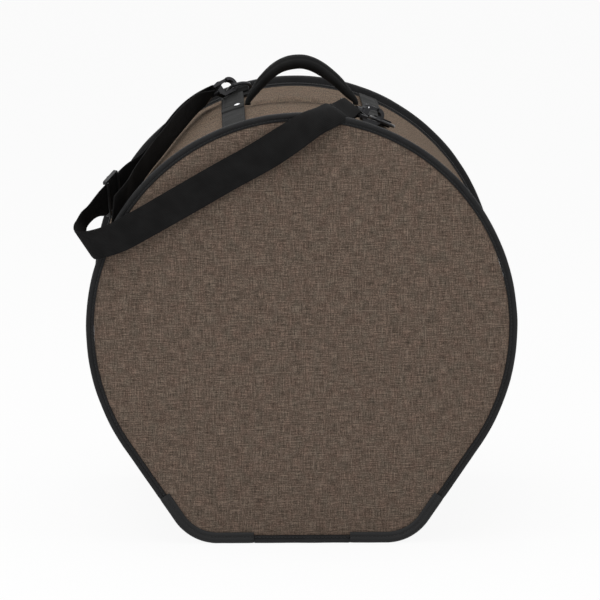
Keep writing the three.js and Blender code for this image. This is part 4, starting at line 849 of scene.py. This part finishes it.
def make_handle():
    rows = spline(handle_rows(), 0.0025)
    reach = spans(rows[:, :3], False)
    rings = []
    for row, distance in zip(rows, reach):
        wrapped = band(distance / reach[-1], *WRAPPED)
        centre, across = row[:3], row[3:6] / np.linalg.norm(row[3:6])
        ring = []
        for k in range(HANDLE_SIDES):
            a = 2 * math.pi * k / HANDLE_SIDES
            swell = wrap_swell(a, wrapped)
            p = centre + across * math.cos(a) * row[6] / 2 * swell
            p[1] = math.sin(a) * row[7] / 2 * swell
            p += across * WRAP_WAVE * ripple(*p, 60, 11) * wrapped
            ring.append(p)
        rings.append(ring)
    handle = grid("handle_grip", rings, "handle", HANDLE_WRAP, sharp=60)
    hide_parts("top_handle")


# Side grab handle and its patches

SIDE_FROM = S_ARC + 0.947 * (TOTAL - 2 * S_ARC)
SIDE_TO = TOTAL - S_ARC + 0.67 * SIDE_LENGTH
SIDE_FRONT, SIDE_WIDTH = -0.159, 0.038
SIDE_INSET, SIDE_STAND, SIDE_THICKNESS, SIDE_BOW = 0.0087, 0.0127, 0.003, 0.0003
# The grip rises by its place, where a length on the arc counts for more than one on the straight
ARC_UNIT, STRAIGHT_UNIT, PLACE_UNITS = 0.0338, 0.0739, 2.66
SIDE_EDGE = ((0.0008, 0.0001), (0.0015, -0.0003), (0.0022, 0.0001))
SIDE_PATCH_REACH = (SIDE_TO - SIDE_FROM) * 0.12
SIDE_PATCHES = (
    ("upper", SIDE_FROM, SIDE_FROM + SIDE_PATCH_REACH), ("lower", SIDE_TO - SIDE_PATCH_REACH, SIDE_TO),
)
SIDE_PATCH_OUTER, SIDE_PATCH_INNER, SIDE_PATCH_LAP = 0.0038, 0.0054, 0.003


def side_rise(s):
    arc = min(s, TOTAL - S_ARC) - SIDE_FROM
    share = (arc / ARC_UNIT + max(s - TOTAL + S_ARC, 0) / STRAIGHT_UNIT) / PLACE_UNITS
    return smooth(share, 0.12, 0.5) * smooth(1 - share, 0.12, 0.5)


def side_section(s):
    inner = SIDE_INSET - SIDE_STAND * side_rise(s)
    ys = stops(SIDE_FRONT, SIDE_FRONT + SIDE_WIDTH, LOOP_STEP)
    half = SIDE_WIDTH / 2
    bows = [SIDE_BOW * (1 - ((y - SIDE_FRONT - half) / half) ** 2) for y in ys]
    outer = [(inner - SIDE_THICKNESS - bow, y) for y, bow in zip(ys, bows)]
    rear = [(inner - depth, ys[-1] + out) for depth, out in SIDE_EDGE]
    front = [(inner - depth, ys[0] - out) for depth, out in SIDE_EDGE]
    return [(inner, y) for y in ys] + rear + outer[::-1] + front[::-1]


side = sweep("side_grip", stops(SIDE_FROM, SIDE_TO, 0.003), side_section, "bag", WEBBING, False, 50)
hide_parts("side_handle")


def make_side_patch(label, start, end):
    def section(s):
        hem = 0.0004 * (1 - smooth(min(s - start, end - s), -0.0001, 0.001))
        front, rear = SIDE_FRONT - SIDE_PATCH_LAP, SIDE_FRONT + SIDE_WIDTH + SIDE_PATCH_LAP
        return slab_section(SIDE_PATCH_OUTER + hem, SIDE_PATCH_INNER, front, rear, 0.0006)

    path = edged(start, end, 0.002)
    patch = sweep(f"side_vinyl_{label}", path, section, "bag", BLACK_VINYL, False, 50)
    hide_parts(f"side_patch_{label}")


for label, start, end in SIDE_PATCHES:
    make_side_patch(label, start, end)

# Webbing: ring tabs and the shoulder strap

WEBBING_THICKNESS = 0.0018
RIBBON_FLAT, RIBBON_ROUNDED, RIBBON_EDGE = 0.9, 0.93, 0.97


def ribbon(name, rows, width, columns=13):
    """Webbing along rows of centre, direction across, normal and crown, with rounded edges."""
    flat = np.linspace(-RIBBON_FLAT, RIBBON_FLAT, columns - 4)
    shares = np.array([-1, -RIBBON_EDGE, *flat, RIBBON_EDGE, 1])
    rings = []
    for row in np.asarray(rows, float):
        across = row[3:6] / np.linalg.norm(row[3:6])
        normal = row[6:9] - across * across.dot(row[6:9])
        normal /= np.linalg.norm(normal)
        ring = []
        for side in (1, -1):
            for share in shares[::side]:
                half = WEBBING_THICKNESS / 2 * (1 - 0.5 * smooth(abs(share), RIBBON_ROUNDED, 1.0))
                lift = row[9] * (1 - share * share) + side * half
                ring.append(row[:3] + across * share * width / 2 + normal * lift)
        rings.append(ring)
    return grid(name, rings, "bag", WEBBING, sharp=60)


def turn_rows(centre, axis, first, second, radius, turn, steps):
    """Rows that turn about an axis, from one direction towards the other."""
    made = []
    for k in range(steps + 1):
        normal = first * math.cos(turn * k / steps) + second * math.sin(turn * k / steps)
        made.append([*(centre + normal * radius), *axis, *normal, 0])
    return made


TAB_WIDTH = 0.022
TAB_TURN, TAB_TURN_DEGREES = 0.0032, 225
TAB_NEAR = 0.0041
# How far back and out the tab's short end lies, first leaning and then flat
TAB_END = ((0.0062, 0.0036), (0.0105, 0.0027))


def make_tab(label, degrees, y, rise, tail_side, tail, slope):
    """The tab that holds a D-ring: a tail along the wall, a turn round the ring's bar and a short end."""
    s = round_at(degrees)
    out = Vector(outward(s))
    back = Vector((0, tail_side, 0))
    axis = back.cross(out)
    bar = Vector(at(s, WALL_INSET - rise, y))
    low = 0.0003 - rise
    near = max(low, -TAB_NEAR)
    rows = []
    for distance, height in ((tail, low), (slope, low), ((slope + TAB_NEAR) / 2, (low + near) / 2)):
        rows.append([*(bar + back * distance + out * (height + WEBBING_THICKNESS / 2)), *axis, *(-out), 0])
    rows += turn_rows(bar, axis, -out, -back, TAB_TURN, math.radians(TAB_TURN_DEGREES), 12)
    for (distance, height), normal in zip(TAB_END, ((back + out).normalized(), out)):
        rows.append([*(bar + back * distance + out * (near + height)), *axis, *normal, 0])
    tab = ribbon(f"ring_webbing_{label}", spline(rows, 0.004), TAB_WIDTH, 9)
    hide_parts(f"dring_tab_{label}")


make_tab("left", -16.2, 0.174, 0.0048, -1, 0.04, 0.012)
make_tab("right", 22.4, -0.138, 0.0083, 1, 0.092, 0.066)

# The strap's route: each row's place as shares of the bag's half sizes, its direction across and its crown
STRAP_RUN = (
    (0.176, -0.876, 0.99, -0.6, 0.68, 0.42, 0), (0.158, -0.938, 1.016, -0.7, 0.65, 0.3, 0.03),
    (0.148, -0.967, 1, -0.69, 0.6, 0.4, 0.12), (0.132, -0.973, 0.979, -0.67, 0.55, 0.48, 0.2),
    (0.078, -1.011, 0.969, -0.65, 0.55, 0.52, 0.2), (0.048, -1.038, 0.964, -0.62, 0.54, 0.57, 0.16),
    (0.018, -1.062, 0.939, -0.58, 0.53, 0.62, 0.1), (-0.043, -1.067, 0.9, -0.5, 0.42, 0.75, 0),
    (-0.168, -1.053, 0.816, -0.63, 0.21, 0.74, 0), (-0.358, -1.053, 0.711, -0.67, 0.14, 0.73, 0),
    (-0.548, -1.058, 0.602, -0.67, 0.14, 0.73, 0), (-0.739, -1.067, 0.494, -0.7, 0.15, 0.69, 0),
    (-0.865, -1.08, 0.429, -0.68, 0.15, 0.72, 0), (-0.962, -1.096, 0.403, -0.6, 0.09, 0.79, 0),
    (-0.999, -1.062, 0.397, -0.56, 0.06, 0.83, 0), (-1.014, -0.973, 0.424, -0.49, -0.45, 0.74, 0),
    (-1.019, -0.88, 0.468, -0.25, -0.85, 0.46, 0), (-1.006, -0.84, 0.493, -0.17, -0.84, 0.51, 0),
    (-0.977, -0.804, 0.519, -0.16, -0.85, 0.5, 0), (-0.947, -0.758, 0.542, -0.13, -0.72, 0.68, 0),
    (-0.915, -0.728, 0.563, -0.07, -0.4, 0.91, 0), (-0.815, -0.53, 0.646, -0.03, -0.37, 0.93, 0),
    (-0.748, -0.425, 0.686, 0.04, -0.33, 0.94, 0), (-0.65, -0.182, 0.794, 0.09, -0.31, 0.95, 0),
)
FLAT = (0.09, -0.31, 0.95, 0)
STRAP_RETURN = (
    (-0.484, 0.444, 0.906, 0.15, -0.6, 0.79, 0), (-0.544, 0.225, 0.87, 0.1, -0.4, 0.91, 0),
    (-0.588, 0.025, 0.84, *FLAT), (-0.64, -0.187, 0.792, *FLAT), (-0.7, -0.391, 0.736, *FLAT),
    (-0.74, -0.556, 0.694, *FLAT), (-0.784, -0.676, 0.64, *FLAT), (-0.816, -0.849, 0.6, *FLAT),
    (-0.872, -0.938, 0.542, *FLAT),
)
STRAP_WIDTH = 0.038
LAYER = 0.0024
TIGHT_TO, RELAX_REACH = 9, 0.016
# Each snap's eye: its centre, the way from it to the hook and the direction across the webbing
EYES = {
    "left": ((-0.1084147, 0.1338112, 0.4869176), (0.6827, 0.6744, 0.2811), (0.4018, -0.6679, 0.6265)),
    "right": ((0.0577016, -0.1765091, 0.5050746), (0.7524, 0.5779, -0.3162), (-0.4825, 0.8103, 0.3326)),
}
EYE_TURN = 0.0037


def strap_rows(table):
    """Rows of centre, across, normal and crown from the route's shares."""
    centres = [Vector((x * RIM, y * HALF, CENTRE + z * RIM)) for x, y, z, *_ in table]
    rows = []
    for i, (_, _, _, ax, ay, az, bow) in enumerate(table):
        across = Vector((ax, ay, az)).normalized()
        travel = centres[min(i + 1, len(centres) - 1)] - centres[max(i - 1, 0)]
        rows.append([*centres[i], *across, *across.cross(travel).normalized(), bow * STRAP_WIDTH])
    return rows


def layered(row, offset):
    """A row moved along its normal, and turned to face the other way."""
    row = np.array(row, float)
    row[:3] += row[6:9] * offset
    row[6:9] *= -1
    return list(row)


def eye_loop(label):
    eye, way, across = (Vector(value) for value in EYES[label])
    return turn_rows(eye, across, across.cross(way), way, EYE_TURN, math.pi, 10)


def relaxed(rows, start, end, reach):
    """Evens out a stretch of rows, as webbing that is pulled tight lies in long curves."""
    place = spans(rows[:, :3], False)
    made = rows.copy()
    for i in range(start, end + 1):
        share = smooth(place[i] - place[start], 0, reach) * smooth(place[end] - place[i], 0, reach)
        weights = np.exp(-(((place - place[i]) / reach) ** 2))
        made[i] = rows[i] + share * (weights @ rows / weights.sum() - rows[i])
    return made


def make_strap():
    run, back = strap_rows(STRAP_RUN), strap_rows(STRAP_RETURN)
    under = [layered(row, -LAYER) for row in back[:3]][::-1]
    rows = [layered(run[0], -LAYER), *eye_loop("right"), *run, *under, *eye_loop("left"), *back]
    fine = spline(rows, 0.006)
    ends = []
    for row in (run[0], run[TIGHT_TO]):
        ends.append(int(np.argmin(np.linalg.norm(fine[:, :3] - np.array(row[:3]), axis=1))))
    fine = relaxed(fine, *ends, RELAX_REACH)
    strap = ribbon("strap_webbing", fine, STRAP_WIDTH)
    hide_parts("shoulder_strap")
    return run, back


make_handle()
run, back = make_strap()

# Stitching

STITCH = (0.003, 0.0043, 0.00042)
STRAP_STITCH = (0.0026, 0.0034, 0.0004)
SEAM_HALF, SEAM_HEIGHT = 0.0165, 0.0011
EDGE_SEAM, EDGE_SEAM_DEPTH = 0.0069, 0.00075
CAP_SEAM, CAP_SEAM_RISE, CAP_HEM_SEAM, CAP_HEM_DEPTH = 0.0083, 0.0011, 0.0001, 0.0078
SEAM_END = 0.002
THREAD_RISE = 0.0001
ZIP_SEAM_END, TAPE_SEAM = 0.004, WALL_INSET - THREAD_RISE
BODY_TAPE_SEAMS, LID_TAPE_SEAM = (0.1860, 0.1868), 0.2128
LEFT_STRIP_SEAM, RIGHT_STRIP_SEAM = -21.3, 23.7
BOOT_SEAM, BOOT_SEAM_INSET, BOOT_SEAM_END = 0.0025, 0.0069, 0.003
PATCH_SEAM, PATCH_SEAM_INSET = 0.0014, 0.0037


def seam(row, offset):
    """A stitch line straight across the strap near one of its rows."""
    centre, across, normal = Vector(row[:3]), Vector(row[3:6]), Vector(row[6:9])
    centre += across.cross(normal) * offset + normal * SEAM_HEIGHT
    return [centre - across * SEAM_HALF, centre, centre + across * SEAM_HALF], [normal] * 3


def strip_line(degrees, path, outline):
    """A seam along a vinyl strip, on its highest skin."""
    s = round_at(degrees)
    tops = [min(inset for _, inset in outline(y)[STRIP_TOP]) for y in path]
    points = [at(s, top - THREAD_RISE, y) for top, y in zip(tops, path)]
    return points, [outward(s)] * len(points)


for side, label, body in ((-1, "front", "bag"), (1, "back", "lid")):
    lines = []
    for start, end in ((CAP_TOP, TOTAL - CAP_TOP), (-CAP_FOOT, CAP_FOOT)):
        lines.append(rim_line(start, end, EDGE_SEAM, side * (HALF - EDGE_SEAM_DEPTH), side))
    for start, end in ((CAP_FOOT, CAP_TOP), (TOTAL - CAP_TOP, TOTAL - CAP_FOOT)):
        start, end = start + SEAM_END, end - SEAM_END
        lines.append(rim_line(start, end, CAP_SEAM, side * (HALF + CAP_SEAM_RISE), side))
        lines.append(rim_line(start, end, CAP_HEM_SEAM, side * (HALF - CAP_HEM_DEPTH)))
    beads(f"stitching_{label}", lines, body, THREAD, STITCH)

zip_ends = (ZIP_FROM + ZIP_SEAM_END, ZIP_TO - ZIP_SEAM_END)
lines = [rim_line(*zip_ends, TAPE_SEAM, y) for y in BODY_TAPE_SEAMS]
for s in (S_SIDE + LAP - BOOT_SEAM, TOTAL - S_SIDE - LAP + BOOT_SEAM):
    lines.append(cross_line(s, BOOT_SEAM_INSET, WALL_START + BOOT_SEAM_END, WALL_END - BOOT_SEAM_END))
lines.append(strip_line(LEFT_STRIP_SEAM, left_path[2:-2], left_outline))
lines.append(strip_line(RIGHT_STRIP_SEAM, right_path[2:-2], right_outline))
for _, start, end in SIDE_PATCHES:
    for s in (start + PATCH_SEAM, end - PATCH_SEAM):
        lines.append(cross_line(s, PATCH_SEAM_INSET, SIDE_FRONT, SIDE_FRONT + SIDE_WIDTH))
beads("stitching_wall", lines, "bag", THREAD, STITCH)
lines = [rim_line(*zip_ends, TAPE_SEAM, LID_TAPE_SEAM)]
beads("stitching_tape", lines, "lid", THREAD, STITCH)
lines = [seam(run[0], offset) for offset in (-0.004, -0.001)]
lines += [seam(back[1], offset) for offset in (-0.002, 0.002)]
beads("stitching_strap", lines, "bag", THREAD, STRAP_STITCH)

# Hard parts keep their own shape and get their finish

FINISHES = (
    (DARK_METAL, ("zip_stop_", "zip_slider_", "zip_pull_", "dring_left", "dring_right", "hook_")),
    (BRIGHT_METAL, ("handle_rivet_", "hook_pin_")),
    (PLASTIC, ("strap_slider",)),
    (BOARD, ("base_board",)),
)
for look, starts in FINISHES:
    for name, obj in nodes.items():
        if name.startswith(starts):
            obj.data.materials.clear()
            obj.data.materials.append(look)

# Floor, light and camera

WHITE = (1, 1, 1, 1)
FLOOR_GREY = (0.9, 0.9, 0.9, 1)
FLOOR_GLOW = 0.92
FLOOR_SIZE = 14
AMBIENT = 0.55


def seen_directly(tree):
    """1 for what the camera, gloss and glass see, and 0 for light that falls on the object."""
    rays = tree.nodes.new("ShaderNodeLightPath").outputs
    seen = rays["Is Camera Ray"]
    for key in ("Is Glossy Ray", "Is Transmission Ray"):
        seen = add_node(tree, "ShaderNodeMath", [(0, seen), (1, rays[key])], operation="MAXIMUM").outputs[0]
    return seen


def blend(tree, share, first, second, output):
    """Mixes two shaders into a tree's output."""
    sockets = enumerate((share, first.outputs[0], second.outputs[0]))
    add_node(tree, output, [(0, add_node(tree, "ShaderNodeMixShader", sockets).outputs[0])])


def stage_material(name, share):
    """White as the camera, gloss and glass see it, while the lamps still draw the object's shadow on it."""
    material = bpy.data.materials.new(name)
    material.use_nodes = True
    tree = material.node_tree
    tree.nodes.clear()
    diffuse = add_node(tree, "ShaderNodeBsdfDiffuse", [(0, FLOOR_GREY)])
    glow = add_node(tree, "ShaderNodeEmission", [(0, WHITE)])
    scaled = add_node(tree, "ShaderNodeMath", [(0, seen_directly(tree)), (1, share)], operation="MULTIPLY")
    blend(tree, scaled.outputs[0], diffuse, glow, "ShaderNodeOutputMaterial")
    return material


bm = bmesh.new()
bmesh.ops.create_grid(bm, x_segments=2, y_segments=2, size=FLOOR_SIZE)
mesh = bpy.data.meshes.new("floor")
bm.to_mesh(mesh)
bm.free()
mesh.materials.append(stage_material("floor_white", FLOOR_GLOW))
floor = bpy.data.objects.new("floor", mesh)
bpy.context.scene.collection.objects.link(floor)

scene = bpy.context.scene
scene.view_settings.view_transform = "Standard"
world = bpy.data.worlds.new("studio")
world.use_nodes = True
scene.world = world
tree = world.node_tree
tree.nodes.clear()
lights = [add_node(tree, "ShaderNodeBackground", [(0, WHITE), (1, strength)]) for strength in (AMBIENT, 1.0)]
blend(tree, seen_directly(tree), *lights, "ShaderNodeOutputWorld")


def lamp(name, place, aim, width, height, power):
    data = bpy.data.lights.new(name, "AREA")
    data.shape = "RECTANGLE"
    data.size, data.size_y, data.energy = width, height, power
    obj = bpy.data.objects.new(name, data)
    obj.location = place
    obj.rotation_euler = (Vector(aim) - Vector(place)).to_track_quat("-Z", "Y").to_euler()
    scene.collection.objects.link(obj)


lamp("light_top", (-0.3, -0.2, 2.6), (0, 0, 0.3), 2.2, 2.2, 30)
lamp("light_front", (-1.0, -3.2, 1.7), (0, 0, 0.25), 2.4, 1.8, 26)
lamp("light_side", (2.6, -1.4, 1.5), (0, 0, 0.25), 1.6, 1.6, 7)

# The camera that fits both rims in the photo: it looks at the middle of the front face from far off
AZIMUTH = math.radians(1.17)
ELEVATION = math.radians(8.4)
DISTANCE = 5.2
SHIFT_RIGHT, SHIFT_UP = -0.0023, 0.0324
SENSOR, FOCAL_PIXELS, PICTURE_PIXELS = 36, 4494, 600
right = Vector((math.cos(AZIMUTH), -math.sin(AZIMUTH), 0))
level = Vector((math.sin(AZIMUTH), math.cos(AZIMUTH), 0))
view = level * math.cos(ELEVATION) - Vector((0, 0, math.sin(ELEVATION)))
up = right.cross(view)
place = Vector((0, -HALF, CENTRE)) - view * DISTANCE + right * SHIFT_RIGHT + up * SHIFT_UP
data = bpy.data.cameras.new("camera")
data.sensor_fit = "HORIZONTAL"
data.sensor_width = SENSOR
data.lens = SENSOR * FOCAL_PIXELS / PICTURE_PIXELS
camera = bpy.data.objects.new("camera", data)
camera.matrix_world = Matrix.Translation(place) @ Matrix((right, up, -view)).transposed().to_4x4()
scene.collection.objects.link(camera)
scene.camera = camera
